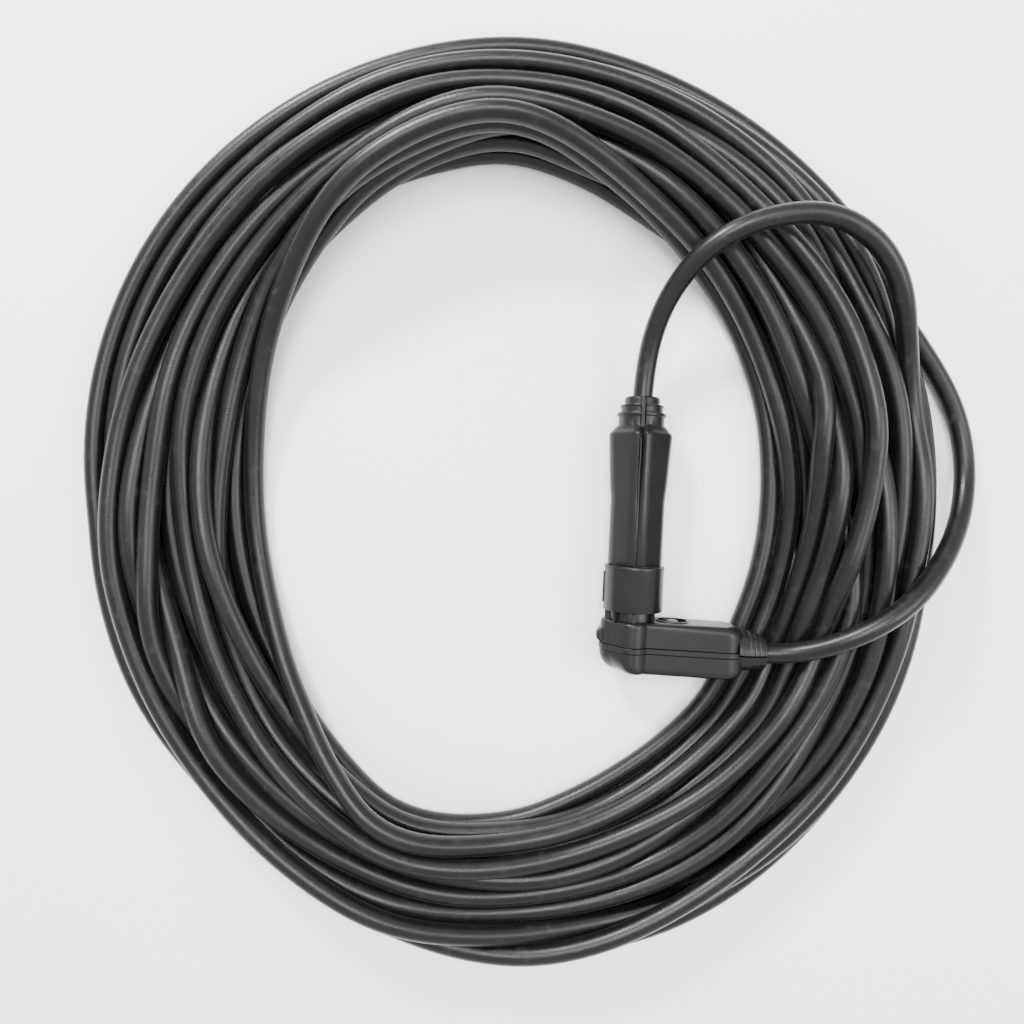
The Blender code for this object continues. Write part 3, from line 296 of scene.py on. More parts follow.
def settle_coil():
    """Drops the turns one on another and lets them slide and settle. Returns the coil's points, from the
    plug's lead to the socket's lead."""
    lead_a, lead_r, lead_z = polar(PLUG_LEAD)
    out_a, out_r, out_z = polar(SOCKET_LEAD[::-1])
    start = lead_a[-1]
    end = out_a[0]
    start += math.tau * round((end - start) / math.tau)
    lead_a = lead_a + start - lead_a[-1]
    turn_points = int(round((math.tau * TURNS + start - end) / (math.tau / STEPS)))
    step = (math.tau * TURNS + start - end) / turn_points
    count = PINNED_HEAD + turn_points + 1 + PINNED_TAIL
    angles = start + (PINNED_HEAD - np.arange(count)) * step
    head = slice(0, PINNED_HEAD + 1)
    tail = slice(count - PINNED_TAIL - 1, count)
    head_r = np.interp(-angles[head], -lead_a[-HEAD_NEAR:], lead_r[-HEAD_NEAR:])
    head_z = np.interp(-angles[head], -lead_a[-HEAD_NEAR:], lead_z[-HEAD_NEAR:])
    tail_at = angles[tail] - angles[tail][0] + end
    tail_r = np.interp(-tail_at, -out_a[:TAIL_NEAR], out_r[:TAIL_NEAR])
    tail_z = np.interp(-tail_at, -out_a[:TAIL_NEAR], out_z[:TAIL_NEAR])

    # Where each strand would like to lie, seen from above
    inner = spoke_curve(0, angles) + CORD_R
    outer = spoke_curve(1, angles) - CORD_R
    obstacles = things_over_coil()
    aim = roomy(strand_plan(count), angles, inner, outer, obstacles)
    index = np.arange(count)
    from_head = np.clip((index - PINNED_HEAD) / EASE_ON, 0, 1)
    from_tail = np.clip((count - 1 - PINNED_TAIL - index) / EASE_ON, 0, 1)
    aim = head_r[-1] + (aim - head_r[-1]) * soft_step(from_head)
    aim = tail_r[0] + (aim - tail_r[0]) * soft_step(from_tail)
    outer = np.maximum(outer, aim)
    aim = smoothed(aim, AIM_EASE)
    aim[head], aim[tail] = head_r, tail_r

    def pin(radius, height):
        """Holds the leads where they are, and lets the coil leave each of them along its own direction."""
        for values, first, last, run in (
            (radius, head_r, tail_r, RUN_ON),
            (height, head_z, tail_z, LEVEL_ON),
        ):
            values[head], values[tail] = first, last
            far_on = np.arange(1, run + 1)
            share = far_on / (run + 1)
            held = 1 - soft_step(share)
            carry = (run + 1) * 0.5 * (1 - (1 - share) ** 2)
            for place, near, pace in (
                (PINNED_HEAD + far_on, first[-1], first[-1] - first[-2]),
                (count - 1 - PINNED_TAIL - far_on, last[0], last[0] - last[1]),
            ):
                values[place] += held * (near + pace * carry - values[place])
        np.maximum(height, CORD_R, out=height)

    free = slice(PINNED_HEAD + DIVE, count - PINNED_TAIL - DIVE)
    radius = aim.copy()
    height = CORD_R + CORD_D * FIRST_STACK * (count - 1 - index) / STEPS
    height[head], height[tail] = head_z, tail_z
    ceiling = np.full(count, OPEN)
    for turn in range(SETTLING + FREEING):
        freeing = turn > SETTLING
        if freeing:
            height -= LAST_DROP
        else:
            height -= FAST_DROP if turn < SLOW_FROM else SLOW_DROP
            radius += PULL * (aim - radius)
        if turn > DUCK_FROM and turn % DUCK_EVERY == 0:
            ceiling[free] = gentle_ceiling(radius[free], angles[free], obstacles)
        for _ in range(2):
            sideways, up = push_apart(radius, height)
            radius = np.clip(radius + sideways, inner - SPILL_IN, outer + SPILL_OUT)
            height = np.clip(height + up, CORD_R, np.maximum(ceiling, CORD_R))
            pin(radius, height)
        radius = smoothed(radius, 1 if freeing else SLIDE_EASE)
        height = smoothed(height, 1 if freeing else FALL_EASE)
        pin(radius, height)
    near_lead = slice(PINNED_HEAD, PINNED_HEAD + 2 * RUN_ON)
    height[near_lead] = smoothed(height[near_lead], NEAR_EASE)
    x = COIL_MIDDLE[0] + radius * np.cos(angles)
    y = COIL_MIDDLE[1] + radius * np.sin(angles)
    return np.stack([x, y, np.maximum(height, CORD_R)], axis=1)[PINNED_HEAD:count - PINNED_TAIL]


# ---------------------------------------------------------------- materials
def new_material(name):
    made = bpy.data.materials.new(name)
    made.use_nodes = True
    return made, made.node_tree, made.node_tree.nodes["Principled BSDF"]


DRIFT_FROM, DRIFT_TO = 0.3, 0.7  # the part of a noise's range that a colour or a value runs over


def ramp(tree, source, low, high, start=DRIFT_FROM, end=DRIFT_TO):
    """Colours from low to high as the source goes from start to end."""
    made = tree.nodes.new("ShaderNodeValToRGB")
    made.color_ramp.elements[0].position = start
    made.color_ramp.elements[1].position = end
    made.color_ramp.elements[0].color = (*low, 1)
    made.color_ramp.elements[1].color = (*high, 1)
    tree.links.new(source, made.inputs["Fac"])
    return made.outputs["Color"]


def spread(tree, source, low, high):
    """A value that runs from low to high with the source."""
    made = tree.nodes.new("ShaderNodeMapRange")
    made.inputs["From Min"].default_value = DRIFT_FROM
    made.inputs["From Max"].default_value = DRIFT_TO
    made.inputs["To Min"].default_value = low
    made.inputs["To Max"].default_value = high
    tree.links.new(source, made.inputs["Value"])
    return made.outputs["Result"]


def noise(tree, scale, detail, stretch=(1, 1, 1), space="Object"):
    """Noise over the piece, or stretched along a cable's UV."""
    place = tree.nodes.new("ShaderNodeTexCoord")
    mapping = tree.nodes.new("ShaderNodeMapping")
    mapping.inputs["Scale"].default_value = stretch
    made = tree.nodes.new("ShaderNodeTexNoise")
    made.inputs["Scale"].default_value = scale
    made.inputs["Detail"].default_value = detail
    tree.links.new(place.outputs[space], mapping.inputs["Vector"])
    tree.links.new(mapping.outputs["Vector"], made.inputs["Vector"])
    return made.outputs["Fac"]


def bump(tree, shader, source, strength, distance, after=None):
    """Relief of a depth in metres, on top of an earlier relief if there is one."""
    made = tree.nodes.new("ShaderNodeBump")
    made.inputs["Strength"].default_value = strength
    made.inputs["Distance"].default_value = distance
    tree.links.new(source, made.inputs["Height"])
    if after is not None:
        tree.links.new(after.outputs["Normal"], made.inputs["Normal"])
    tree.links.new(made.outputs["Normal"], shader.inputs["Normal"])
    return made


def plain(name, low, high, rough, scale, grain, metallic=0.0, depth=0.00005):
    """A surface whose colour and roughness drift, under a fine grain."""
    made, tree, shader = new_material(name)
    drift = noise(tree, scale, 4.0)
    fine = noise(tree, grain, 2.0)
    tree.links.new(ramp(tree, drift, low, high), shader.inputs["Base Color"])
    tree.links.new(spread(tree, fine, rough[0], rough[1]), shader.inputs["Roughness"])
    shader.inputs["Metallic"].default_value = metallic
    shader.inputs["Specular IOR Level"].default_value = 0.5 if metallic else 0.28
    bump(tree, shader, fine, 0.5, depth)
    return made


def cable_rubber():
    """Satin black rubber with faint drawn lines along it, rubbed paler in places and a little dusty."""
    made, tree, shader = new_material("cable_rubber")
    drift = noise(tree, 26.0, 5.0)
    lines = noise(tree, 1.0, 3.0, (9.0, 700.0, 1.0), "UV")
    fine = noise(tree, 2200.0, 2.0)
    scuffs = noise(tree, 150.0, 6.0)
    base = ramp(tree, drift, (0.0022, 0.0022, 0.0023), (0.0050, 0.0050, 0.0052))
    pale = ramp(tree, scuffs, (0.0, 0.0, 0.0), (0.03, 0.03, 0.031), 0.6, 0.78)
    mix = tree.nodes.new("ShaderNodeMixRGB")
    mix.blend_type = "ADD"
    mix.inputs["Fac"].default_value = 0.35
    tree.links.new(base, mix.inputs["Color1"])
    tree.links.new(pale, mix.inputs["Color2"])
    tree.links.new(mix.outputs["Color"], shader.inputs["Base Color"])
    tree.links.new(spread(tree, scuffs, 0.25, 0.36), shader.inputs["Roughness"])
    shader.inputs["Specular IOR Level"].default_value = 0.26
    shader.inputs["Sheen Weight"].default_value = 0.02
    first = bump(tree, shader, fine, 0.35, 0.00004)
    bump(tree, shader, lines, 0.25, 0.00012, first)
    return made


def metal(name, low, high, rough, scale, grain):
    return plain(name, low, high, rough, scale, grain, 1.0, 0.00003)


# name, darkest and lightest colour, smoothest and roughest, scale of the drift and of the grain
MATERIALS = {
    "cable": cable_rubber(),
    "shell": plain("shell_plastic", (0.0035, 0.0035, 0.0036), (0.0065, 0.0065, 0.0067), (0.30, 0.40), 40,
                   2600, depth=0.00007),
    "ring": plain("ring_plastic", (0.0032, 0.0032, 0.0033), (0.0060, 0.0060, 0.0062), (0.28, 0.40), 60, 1800),
    "band": plain("band_plastic", (0.0030, 0.0030, 0.0031), (0.0055, 0.0055, 0.0057), (0.32, 0.44), 60, 1800),
    "insert": plain("insert_plastic", (0.035, 0.035, 0.037), (0.055, 0.055, 0.058), (0.45, 0.6), 90, 1500),
    "seal": plain("seal_rubber", (0.010, 0.010, 0.010), (0.020, 0.020, 0.021), (0.6, 0.8), 120, 1800),
    "contact": metal("contact_brass", (0.55, 0.36, 0.13), (0.75, 0.55, 0.25), (0.2, 0.4), 220, 1400),
    "screw": metal("screw_steel", (0.10, 0.10, 0.105), (0.17, 0.17, 0.175), (0.3, 0.5), 260, 1500),
    "core_line": plain("core_brown", (0.10, 0.035, 0.015), (0.17, 0.07, 0.03), (0.35, 0.5), 90, 1300),
    "core_neutral": plain("core_blue", (0.01, 0.05, 0.30), (0.02, 0.09, 0.45), (0.35, 0.5), 90, 1300),
    "core_earth": plain("core_green", (0.03, 0.22, 0.03), (0.28, 0.36, 0.02), (0.35, 0.5), 90, 1300),
}


def dress(thing, slot):
    """Gives a piece the material of its slot."""
    thing.data.materials.clear()
    thing.data.materials.append(MATERIALS[slot])


# ---------------------------------------------------------------- meshes, in millimetres in the pair's frame
SHARP_FROM = math.radians(38)
FIT = 0.3


def mesh_piece(name, bm, slot):
    """A smooth-shaded object from faces given in the pair's frame, with its sharper edges kept."""
    bmesh.ops.triangulate(bm, faces=bm.faces)
    bmesh.ops.recalc_face_normals(bm, faces=bm.faces)
    bm.transform(Matrix.Scale(MM, 4) @ PAIR)
    mesh = bpy.data.meshes.new(name)
    bm.to_mesh(mesh)
    bm.free()
    mesh.shade_smooth()
    mesh.set_sharp_from_angle(angle=SHARP_FROM)
    made = bpy.data.objects.new(name, mesh)
    bpy.context.scene.collection.objects.link(made)
    mesh.materials.append(MATERIALS[slot])
    return made


def skin(name, rings, slot, closed=False):
    """The surface over rings of points. Its ends are filled or, if closed, joined to each other."""
    bm = bmesh.new()
    loops = [[bm.verts.new(p) for p in ring] for ring in rings]
    pairs = list(zip(loops, loops[1:]))
    if closed:
        pairs.append((loops[-1], loops[0]))
    for low, high in pairs:
        for i in range(len(low)):
            j = (i + 1) % len(low)
            bm.faces.new((low[i], low[j], high[j], high[i]))
    if not closed:
        bm.faces.new(loops[0])
        bm.faces.new(loops[-1])
    return mesh_piece(name, bm, slot)


def apply_booleans(piece, steps):
    """Cuts and joins for good, and removes the helpers."""
    for operation, other in steps:
        step = piece.modifiers.new("step", "BOOLEAN")
        step.operation = operation
        step.solver = "MANIFOLD"
        step.object = other
    bpy.context.view_layer.update()
    graph = bpy.context.evaluated_depsgraph_get()
    mesh = bpy.data.meshes.new_from_object(piece.evaluated_get(graph))
    piece.modifiers.clear()
    piece.data = mesh
    mesh.shade_smooth()
    mesh.set_sharp_from_angle(angle=SHARP_FROM)
    for _, other in steps:
        bpy.data.objects.remove(other, do_unlink=True)


def turned(name, stations, slot, at=ALONG_V, sides=48):
    """A solid of revolution through stations of height and radius."""
    rings = []
    for height, radius in stations:
        ring = []
        for i in range(sides):
            angle = math.tau * (i + 0.5) / sides
            ring.append(at @ Vector((radius * math.cos(angle), radius * math.sin(angle), height)))
        rings.append(ring)
    return skin(name, rings, slot)


def turned_ring(name, profile, slot, at=ALONG_V, sides=96):
    """A ring of revolution with a closed profile of radius and height."""
    rings = []
    for i in range(sides):
        angle = math.tau * (i + 0.5) / sides
        rings.append([at @ Vector((r * math.cos(angle), r * math.sin(angle), h)) for r, h in profile])
    return skin(name, rings, slot, closed=True)


def box_piece(name, low, high, slot, turn=None):
    rings = []
    for z in (low[2], high[2]):
        ring = [(low[0], low[1], z), (high[0], low[1], z), (high[0], high[1], z), (low[0], high[1], z)]
        rings.append([turn @ Vector(p) if turn else Vector(p) for p in ring])
    return skin(name, rings, slot)


def rounded_profile(stations, size=0.45, parts=3):
    """Stations with each corner rounded off by about a size, where there is room."""
    points = [Vector((h, r)) for h, r in stations]
    found = [points[0]]
    for before, corner, after in zip(points, points[1:], points[2:]):
        a = before - corner
        b = after - corner
        if a.length < 1e-6 or b.length < 1e-6:
            found.append(corner)
            continue
        reach = min(size, a.length * 0.45, b.length * 0.45)
        start = corner + a.normalized() * reach
        end = corner + b.normalized() * reach
        if a.angle(b) > math.radians(170):
            found.append(corner)
            continue
        for i in range(parts + 1):
            t = i / parts
            found.append((1 - t) ** 2 * start + 2 * t * (1 - t) * corner + t * t * end)
    found.append(points[-1])
    return [(p.x, p.y) for p in found]


def square_reach(side, rounding, angle):
    """How far a rounded square with its corners at 0, 90, 180 and 270 degrees reaches at an angle."""
    off = abs(angle % (math.pi / 2) - math.pi / 4)
    if side * math.tan(off) <= side - rounding:
        return side / math.cos(off)
    centre = side - rounding
    along = centre * (math.cos(off) + math.sin(off))
    return along + math.sqrt(along * along - 2 * centre * centre + rounding * rounding)


# ---------------------------------------------------------------- the plug
GROOVE_WIDE = 1.9
GROOVE_AT_RING, GROOVE_AT_NOSE = 0.3, 2.2  # how deep the groove down the parting line is
BODY_START, BODY_LONG = 30.4, 73.0
BODY_ROUND = 8.0
NOSE_START = 107.6
NOSE_SLIT = 1.6
NOSE_STATIONS = (
    (NOSE_START, 12.6), (112.5, 12.6), (112.55, 13.5), (114.3, 13.5), (114.35, 11.5), (117.7, 11.5),
    (117.75, 12.0), (118.7, 12.0), (118.75, 9.7), (122.4, 9.7), (123.3, 8.9),
)
BODY_SIDES = (
    (30.45, 12.7), (30.9, 12.85), (65.0, 12.85), (68.5, 13.0), (72.0, 13.3), (76.0, 13.55), (80.0, 13.7),
    (90.0, 14.1), (100.0, 14.55), (102.0, 14.65), (103.0, 14.45), (103.6, 14.0), (104.4, 13.4), (106.0, 12.6),
)
PLUG_SCREWS = ((52.0, -12.0), (98.0, -13.2))
SPIGOT_STATIONS = ((8.0, 13.7), (27.6, 13.7), (27.65, 12.9), (BODY_START, 12.9))
PLUG_HOLLOW = (
    (7.0, 11.6), (28.8, 11.6), (28.85, 10.3), (36.0, 10.3), (36.05, 11.4), (39.0, 11.4), (39.05, 10.3),
    (47.0, 10.3), (47.05, 9.3), (81.0, 9.3), (84.0, 12.2), (93.0, 12.2), (93.05, 8.5), (107.0, 8.5),
    (107.05, 5.9), (127.6, 5.9),
)


def nose_web():
    """The rubber web that fills the slit between the nose's halves, down to the cable."""
    steps = ((105.5, 11.4), (112.4, 11.4), (114.4, 10.8), (118.6, 10.6), (122.6, 8.6), (123.4, 7.6))
    rings = []
    for height, radius in rounded_profile(steps, 0.6):
        shoulder = radius - 0.3
        corners = ((-1.25, -radius), (1.25, -radius), (1.25, shoulder), (0.9, radius), (-0.9, radius),
                   (-1.25, shoulder))
        rings.append([Vector((x, height, z)) for x, z in corners])
    web = skin("plug_nose_web", rings, "cable")
    bore = turned("web_bore", ((100.0, 5.75), (130.0, 5.75)), "cable", sides=64)
    apply_booleans(web, [("DIFFERENCE", bore)])
    dress(web, "seal")
    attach(web, "plug")
    return web


def plug_half(name, side):
    """One half of the casing, without its hollow, and with the groove that runs down the parting line."""
    at = Matrix(((side, 0, 0, 0), (0, 0, 1, 0), (0, 1, 0, 0), (0, 0, 0, 1)))
    sides = 72
    rings = []

    def ring(height, reach, gap, groove):
        """Adds the half's outline at a height, with its points drawn closer together near a groove."""
        limit = math.acos(gap / reach(math.pi / 2))
        points = []
        for i in range(sides + 1):
            u = i / sides
            bent = 0.5 - 0.5 * math.cos(math.pi * u) if groove else u
            angle = limit - 2 * limit * (0.35 * bent + 0.65 * u)
            radius = reach(angle)
            x = radius * math.cos(angle) if 0 < i < sides else gap
            z = radius * math.sin(angle)
            if groove:
                depth = groove * max(0.0, 1 - max(x - gap, 0) / GROOVE_WIDE)
                z -= math.copysign(depth, z)
            points.append(at @ Vector((x, z, height)))
        rings.append(points)

    for height, radius in rounded_profile(SPIGOT_STATIONS, 0.25):
        ring(height, lambda _, r=radius: r, FIT / 2, 0)
    for height, body_side in BODY_SIDES:
        share = min(max((height - BODY_START) / BODY_LONG, 0), 1)
        groove = GROOVE_AT_RING + (GROOVE_AT_NOSE - GROOVE_AT_RING) * share
        ring(height, lambda angle, s=body_side: square_reach(s, BODY_ROUND, angle), FIT / 2, groove)
    for height, radius in rounded_profile(NOSE_STATIONS, 0.35):
        ring(height, lambda _, r=radius: r, NOSE_SLIT, 0)
    return skin(name, rings, "shell")


def seam_lip():
    """A thin raised lip that stands in the groove, along the left half's edge."""
    count = 40
    rings = []
    for i in range(count):
        v = 42.0 + 61.0 * i / (count - 1)
        body = np.interp(v, [h for h, _ in BODY_SIDES], [s for _, s in BODY_SIDES])
        corner = square_reach(body, BODY_ROUND, math.pi / 2)
        thin = 0.12 + 0.88 * min(1.0, i / 6, (count - 1 - i) / 3)
        wide = 0.32 * thin
        top = corner - 0.15 - 0.9 * (1 - thin)
        foot = corner - 2.6
        side = top - 0.12
        centre = -0.95 - 0.15 * math.sin(i * 0.35)
        narrow = wide * 0.4
        outline = ((-wide, foot), (wide, foot), (wide, side), (narrow, top), (-narrow, top), (-wide, side))
        rings.append([Vector((centre + x, v, z)) for x, z in outline])
    lip = skin("plug_seam_lip", rings, "shell")
    dress(lip, "shell")
    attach(lip, "plug")
    return lip


def build_plug():
    made = []
    for name, side, node in (
        ("plug_half_left", -1, "plug_shell_left"),
        ("plug_half_right", 1, "plug_shell_right"),
    ):
        half = plug_half(name, side)
        steps = [("DIFFERENCE", turned(f"{name}_hollow", PLUG_HOLLOW, "shell", sides=64))]
        if side > 0:
            for v, w in PLUG_SCREWS:
                at = Matrix.Translation((0, v, w)) @ Matrix.Rotation(math.pi / 2, 4, "Y")
                stations = ((-2.0, 1.6), (3.0, 1.6), (3.05, 2.65), (12.0, 2.65))
                steps.append(("DIFFERENCE", turned(f"{name}_well_{v:.0f}", stations, "shell", at, 32)))
        apply_booleans(half, steps)
        dress(half, "shell")
        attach(half, "plug")
        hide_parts(node)
        made.append(half)
    return made + [seam_lip(), nose_web()]


def build_ring():
    outline = (
        (14.1, 5.5), (14.6, 5.0), (15.7, 5.0), (16.1, 5.15), (16.3, 5.6), (16.3, 28.2), (16.36, 28.4),
        (16.6, 28.55), (16.6, 29.4), (16.4, 29.85), (16.0, 30.0), (13.3, 30.0), (13.3, 28.0), (14.1, 28.0),
    )
    ring = turned_ring("coupling_collar", outline, "ring")
    rib = box_piece("collar_rib", (-17.0, 9.0, -1.2), (-15.5, 26.0, 1.2), "ring")
    apply_booleans(ring, [("UNION", rib)])
    dress(ring, "ring")
    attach(ring, "ring")
    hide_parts("coupling_ring")
    return ring


# ---------------------------------------------------------------- the socket
HEAD_SIDE = 14.6
HEAD_ROUND = 8.0
ARM_HALF = 13.2
ARM_END = 60.5
ARM_ROUND = 10.0
COVER_END = -13.5
COVER_ROUND = 6.5
EDGE_ROUND = 2.2
BASE_START = -16.9
BASE_END = -28.5
WALL = 2.4
SOCKET_BORE = ((46.0, 5.9), (50.15, 5.9), (50.2, 8.5), (58.0, 8.5), (58.05, 5.9), (80.5, 5.9))
ALONG_ARM = Matrix.Translation((0, CORD_LEVEL, 0)) @ ALONG_U
ENTRY_LOWER = ((57.5, 9.6), (65.6, 9.6), (65.65, 8.7), (69.8, 8.7), (69.85, 7.8), (73.0, 7.8))
ENTRY_UPPER = (
    (57.5, 12.8), (62.4, 12.8), (62.45, 12.1), (63.2, 12.1), (63.25, 12.5), (65.0, 12.5), (65.05, 11.3),
    (65.8, 11.3), (65.85, 11.8), (67.6, 11.8), (67.65, 10.5), (68.4, 10.5), (68.45, 11.0), (70.3, 11.0),
    (70.35, 9.0), (72.2, 9.0), (73.0, 8.6),
)


def clamped(share):
    return min(max(share, 0.0), 1.0)


def round_inset(radius, depth):
    """How far a rounded edge stands back at a depth into its radius."""
    return radius - math.sqrt(radius * radius - depth * depth)


def socket_outline(inset):
    """The socket's outline from above, moved inwards: a rounded square head and the arm for the cable."""
    half = ARM_HALF - inset
    end = ARM_END - inset
    corner = max(ARM_ROUND - inset, 0.8)
    head = HEAD_SIDE - inset
    rounding = max(HEAD_ROUND - inset, 0.8)
    points = []
    for quarter, sign in ((-90, -1), (0, 1)):
        for i in range(15):
            angle = math.radians(quarter + 90 * i / 14)
            x = end - corner + corner * math.cos(angle)
            points.append((x, sign * (half - corner) + corner * math.sin(angle)))
    join = math.atan2(half, head * math.sqrt(2) - half)
    for i in range(91):
        angle = join + (math.tau - 2 * join) * i / 90
        reach = square_reach(head, rounding, angle)
        points.append((reach * math.cos(angle), reach * math.sin(angle)))
    return points


PLAIN_OUTLINE = socket_outline(0.0)


def socket_level(v, insets):
    """The outline at a height, each of its points with an inset of its own."""
    outlines = {inset: socket_outline(inset) for inset in set(insets)}
    return [Vector((outlines[inset][i][0], v, outlines[inset][i][1])) for i, inset in enumerate(insets)]


def level(v, inset):
    return socket_level(v, [inset] * len(PLAIN_OUTLINE))


def base_levels(top, bottom, inset, parts):
    """The base's levels down to its rounded underside, rounder at the head and at the arm's end."""
    radii = []
    for x, _ in PLAIN_OUTLINE:
        radii.append(round(3.2 + 7.4 * clamped((4.0 - x) / 16.0) + 2.2 * clamped((x - 50.5) / 10.0), 2))
    rings = []
    for i in range(parts + 1):
        v = top + (bottom - top) * math.sin(math.pi / 2 * i / parts)
        insets = []
        for r in radii:
            depth = min(max(r - (v - bottom), 0.0), r)
            insets.append(round(inset + round_inset(r, depth), 2))
        rings.append(socket_level(v, insets))
    return rings


def cover_levels():
    """The cover's top edge: a small round at the head, and a fuller one round the arm's end."""
    parts = 12
    rings = []
    for i in range(parts + 1):
        v = COVER_ROUND * (math.sin(math.pi / 2 * i / parts) - 1)
        insets = []
        for x, _ in PLAIN_OUTLINE:
            r = EDGE_ROUND + (COVER_ROUND - EDGE_ROUND) * soft_step(clamped((x - 44.0) / 15.0))
            insets.append(round(round_inset(r, min(max(r + v, 0.0), r)), 2))
        rings.append(socket_level(v, insets))
    return rings


def entry_half(name, sign, stations):
    """Half of the stepped, split nose round the cable."""
    turn = Matrix(((0, 0, 1, 0), (sign, 0, 0, 0), (0, 1, 0, 0), (0, 0, 0, 1)))
    across = Matrix.Translation((0, CORD_LEVEL, 0)) @ turn
    rings = []
    for height, radius in rounded_profile(stations, 0.3, 2):
        limit = math.acos(0.8 / radius)
        ring = []
        for i in range(41):
            angle = limit - 2 * limit * i / 40
            ring.append(across @ Vector((radius * math.cos(angle), radius * math.sin(angle), height)))
        rings.append(ring)
    return skin(name, rings, "shell")


def build_cover():
    """The shell towards the plug, with its lug, cable nose, ribbed neck and the rimmed well of its screw."""
    rings = [level(COVER_END, 0.12), level(COVER_END + 0.15, 0.0)] + cover_levels()
    cover = skin("socket_upper", rings, "shell")
    hollow_levels = [level(COVER_END - 1, WALL), level(-3.6, WALL), level(-2.6, WALL + 0.2)]
    hollow = skin("cover_hollow", hollow_levels, "shell")
    lug_profile = rounded_profile(((-4.3, 3.9), (-4.25, 4.2), (4.25, 4.2), (4.3, 3.9)), 0.3)
    lug_at = Matrix.Translation((-HEAD_SIDE - 0.8, CORD_LEVEL + 6.0, 0))
    neck_profile = rounded_profile(((-1.5, 12.6), (4.6, 12.6), (4.65, 12.2)), 0.3)
    steps = [
        ("UNION", turned("lug", lug_profile, "shell", lug_at, 40)),
        ("DIFFERENCE", hollow),
        ("UNION", entry_half("nose_upper", 1, ENTRY_UPPER)),
        ("UNION", turned("neck", neck_profile, "shell", sides=80)),
    ]
    for degrees in range(45, 360, 45):
        turn = Matrix.Rotation(-math.radians(degrees), 4, "Y")
        rib = box_piece(f"rib_{degrees}", (11.6, -0.8, -0.9), (15.2, 4.6, 0.9), "shell", turn)
        steps.append(("UNION", rib))
    at = Matrix.Translation((22.2, 0, 0)) @ ALONG_V
    rim_profile = rounded_profile(((-1.5, 9.4), (0.1, 9.4), (0.6, 9.0), (0.65, 8.2)), 0.25)
    steps += [
        ("DIFFERENCE", turned("neck_bore", ((-4.6, 11.5), (6.0, 11.5)), "shell", sides=80)),
        ("UNION", turned("rim", rim_profile, "shell", at, 64)),
        ("UNION", turned("boss", ((-14.2, 2.6), (-1.5, 2.6)), "shell", at, 32)),
        ("DIFFERENCE", turned("well", ((-1.4, 7.9), (2.0, 8.3)), "shell", at, 64)),
        ("DIFFERENCE", turned("bore", ((-15.5, 1.6), (1.0, 1.6)), "shell", at, 24)),
        ("DIFFERENCE", turned("cable_bore_a", SOCKET_BORE, "shell", ALONG_ARM, 64)),
    ]
    apply_booleans(cover, steps)
    return cover


def build_base():
    """The shell away from the plug, with the bosses and holes of two screws."""
    rings = [level(BASE_START, 0.12)] + base_levels(BASE_START - 0.15, BASE_END, 0.0, 14)
    base = skin("socket_lower", rings, "shell")
    hollow_levels = [level(BASE_START + 1, WALL)] + base_levels(BASE_START, BASE_END + WALL, WALL, 8)
    steps = [
        ("DIFFERENCE", skin("base_hollow", hollow_levels, "shell")),
        ("UNION", entry_half("nose_lower", -1, ENTRY_LOWER)),
    ]
    for sign in (-1, 1):
        back = Matrix.Translation((30.5, 0, sign * 8.9)) @ ALONG_V
        steps.append(("UNION", turned(f"back_boss_{sign}", ((-26.9, 3.1), (-16.9, 3.1)), "shell", back, 40)))
        stations = ((-30.0, 2.6), (-26.6, 2.6), (-26.55, 1.5), (-15.9, 1.5))
        steps.append(("DIFFERENCE", turned(f"back_hole_{sign}", stations, "shell", back, 40)))
    steps.append(("DIFFERENCE", turned("cable_bore_b", SOCKET_BORE, "shell", ALONG_ARM, 64)))
    apply_booleans(base, steps)
    return base


def build_band():
    """The raised band that seals the joint between the shells."""
    outline = ((-0.35, -16.6), (-0.55, -16.35), (-0.55, -14.05), (-0.35, -13.8), (WALL, -13.8), (WALL, -16.6))
    band = skin("socket_seal_band", [level(v, inset) for inset, v in outline], "band", closed=True)
    mouth = ((50.0, 8.5), (57.2, 8.5), (57.25, 13.1), (65.5, 13.1))
    apply_booleans(band, [("DIFFERENCE", turned("band_mouth", mouth, "band", ALONG_ARM, 48))])
    return band


def build_socket():
    for piece, slot, node in (
        (build_cover(), "shell", "socket_cover_shell"),
        (build_base(), "shell", "socket_base_shell"),
        (build_band(), "band", "socket_band"),
    ):
        dress(piece, slot)
        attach(piece, "root")
        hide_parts(node)


# ---------------------------------------------------------------- the cable
UV_LENGTH = 25.0  # metres of cable to one unit of UV


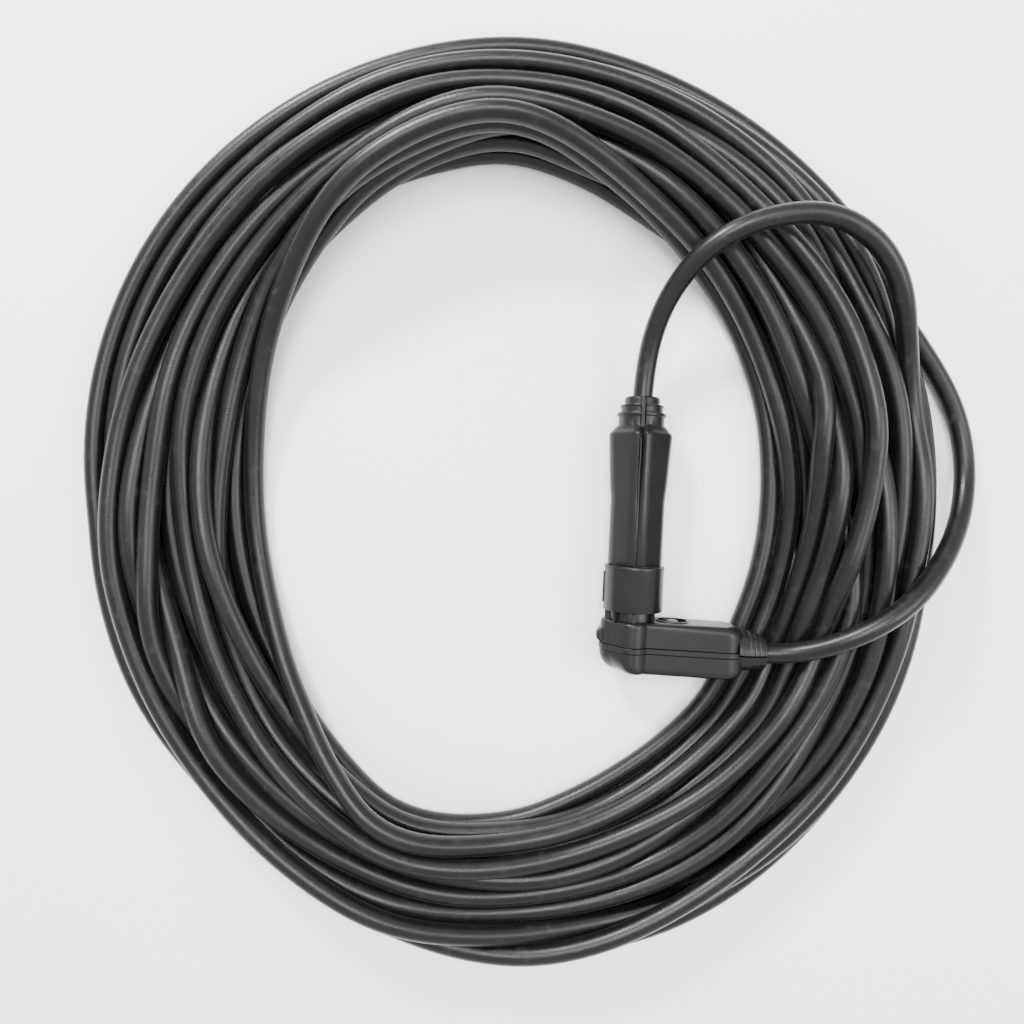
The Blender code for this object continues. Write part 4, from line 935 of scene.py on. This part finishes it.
def tube_mesh(name, points, radii, sides=28):
    """A round tube along points, its rings carried along without twisting. UV runs along it and round it."""
    bm = bmesh.new()
    uv = bm.loops.layers.uv.new("UVMap")
    up = Vector((0, 0, 1))
    loops = []
    run = []
    total = 0.0
    for i, p in enumerate(points):
        ahead = points[min(i + 1, len(points) - 1)]
        behind = points[max(i - 1, 0)]
        along = (ahead - behind).normalized()
        up = (up - along * up.dot(along)).normalized()
        side = along.cross(up)
        if i:
            total += (p - points[i - 1]).length
        run.append(total)
        loop = []
        for k in range(sides):
            angle = math.tau * k / sides
            loop.append(bm.verts.new(p + (side * math.cos(angle) + up * math.sin(angle)) * radii[i]))
        loops.append(loop)
    for i in range(len(loops) - 1):
        for k in range(sides):
            m = (k + 1) % sides
            face = bm.faces.new((loops[i][k], loops[i][m], loops[i + 1][m], loops[i + 1][k]))
            corners = ((run[i], k), (run[i], k + 1), (run[i + 1], k + 1), (run[i + 1], k))
            for loop, (a, b) in zip(face.loops, corners):
                loop[uv].uv = (a / UV_LENGTH, b / sides)
    bm.faces.new(loops[0])
    bm.faces.new(loops[-1])
    bmesh.ops.recalc_face_normals(bm, faces=bm.faces)
    mesh = bpy.data.meshes.new(name)
    bm.to_mesh(mesh)
    bm.free()
    mesh.shade_smooth()
    made = bpy.data.objects.new(name, mesh)
    bpy.context.scene.collection.objects.link(made)
    return made


def cord_curve(name, points, radii):
    """A round tube as a curve, with a radius at each point."""
    curve = bpy.data.curves.new(name, "CURVE")
    curve.dimensions = "3D"
    curve.bevel_depth = 1.0
    curve.bevel_resolution = 6
    curve.use_fill_caps = True
    spline = curve.splines.new("POLY")
    spline.points.add(len(points) - 1)
    for knot, point, radius in zip(spline.points, points, radii):
        knot.co = (*point, 1.0)
        knot.radius = radius
    spline.use_smooth = True
    made = bpy.data.objects.new(name, curve)
    bpy.context.scene.collection.objects.link(made)
    return made


def tapered(count, last):
    """The cable's radius at each point: its own, and then the shares of it given for the last few."""
    return [CORD_R * MM] * (count - len(last)) + [CORD_R * MM * share for share in last]


def build_cords():
    coil = [Vector(p) for p in settle_coil()]
    # The two lengths of cable overlap where they meet, and each thins inside the other
    main = [p * MM for p in SOCKET_LEAD + coil[::-1][1:] + PLUG_LEAD[-2:-6:-1]]
    lead = [p * MM for p in PLUG_LEAD + coil[1:3]]
    cable = cord_curve("cable_coil", main, tapered(len(main), (1.0, 0.98, 0.95, 0.9)))
    dress(cable, "cable")
    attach(cable, "root")
    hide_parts("cord_coil", "socket_lead")
    arc = tube_mesh("cable_plug_lead", lead, tapered(len(lead), (0.98, 0.9)))
    dress(arc, "cable")
    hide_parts("plug_lead")
    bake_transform(arc)
    return cable, arc, main, lead


# ---------------------------------------------------------------- room
def build_room():
    bpy.ops.mesh.primitive_plane_add(size=9, location=(0, 0, -0.0002))
    floor = bpy.context.object
    floor.name = "floor"
    made, tree, shader = new_material("floor_paper")
    drift = noise(tree, 3.0, 3.0)
    tree.links.new(ramp(tree, drift, (0.93, 0.93, 0.93), (0.96, 0.96, 0.96)), shader.inputs["Base Color"])
    shader.inputs["Roughness"].default_value = 0.9
    shader.inputs["Specular IOR Level"].default_value = 0.1
    floor.data.materials.append(made)
    world = bpy.data.worlds.new("studio")
    world.use_nodes = True
    world.node_tree.nodes["Background"].inputs["Color"].default_value = (1, 1, 1, 1)
    world.node_tree.nodes["Background"].inputs["Strength"].default_value = WORLD_LIGHT
    bpy.context.scene.world = world
    for name, place, size, power in LIGHTS:
        light = bpy.data.lights.new(name, "AREA")
        light.size = size
        light.energy = power
        lamp = bpy.data.objects.new(name, light)
        bpy.context.scene.collection.objects.link(lamp)
        lamp.location = place
        lamp.rotation_mode = "QUATERNION"
        lamp.rotation_quaternion = (-Vector(place)).to_track_quat("-Z", "Y")


def build_camera():
    data = bpy.data.cameras.new("camera")
    data.lens = LENS
    data.sensor_width = SENSOR
    camera = bpy.data.objects.new("camera", data)
    bpy.context.scene.collection.objects.link(camera)
    back = (Vector(CAMERA_AT) - Vector(LOOK_AT)).normalized()
    right = Vector((0, 1, 0)).cross(back).normalized()
    turn = Matrix((right, back.cross(right), back)).transposed()
    camera.matrix_world = Matrix.Translation(Vector(CAMERA_AT) * MM) @ turn.to_4x4()
    bpy.context.scene.camera = camera


def slot_of(node):
    return next(part["material_slot"] for part in frame["record"]["subparts"] if part["node"] == node)


def main():
    build_camera()
    cable, arc, main_points, lead_points = build_cords()
    for node, thing in frame["nodes"].items():
        dress(thing, slot_of(node))
    plug_pieces = build_plug()
    build_ring()
    build_socket()
    build_room()
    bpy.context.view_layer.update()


main()
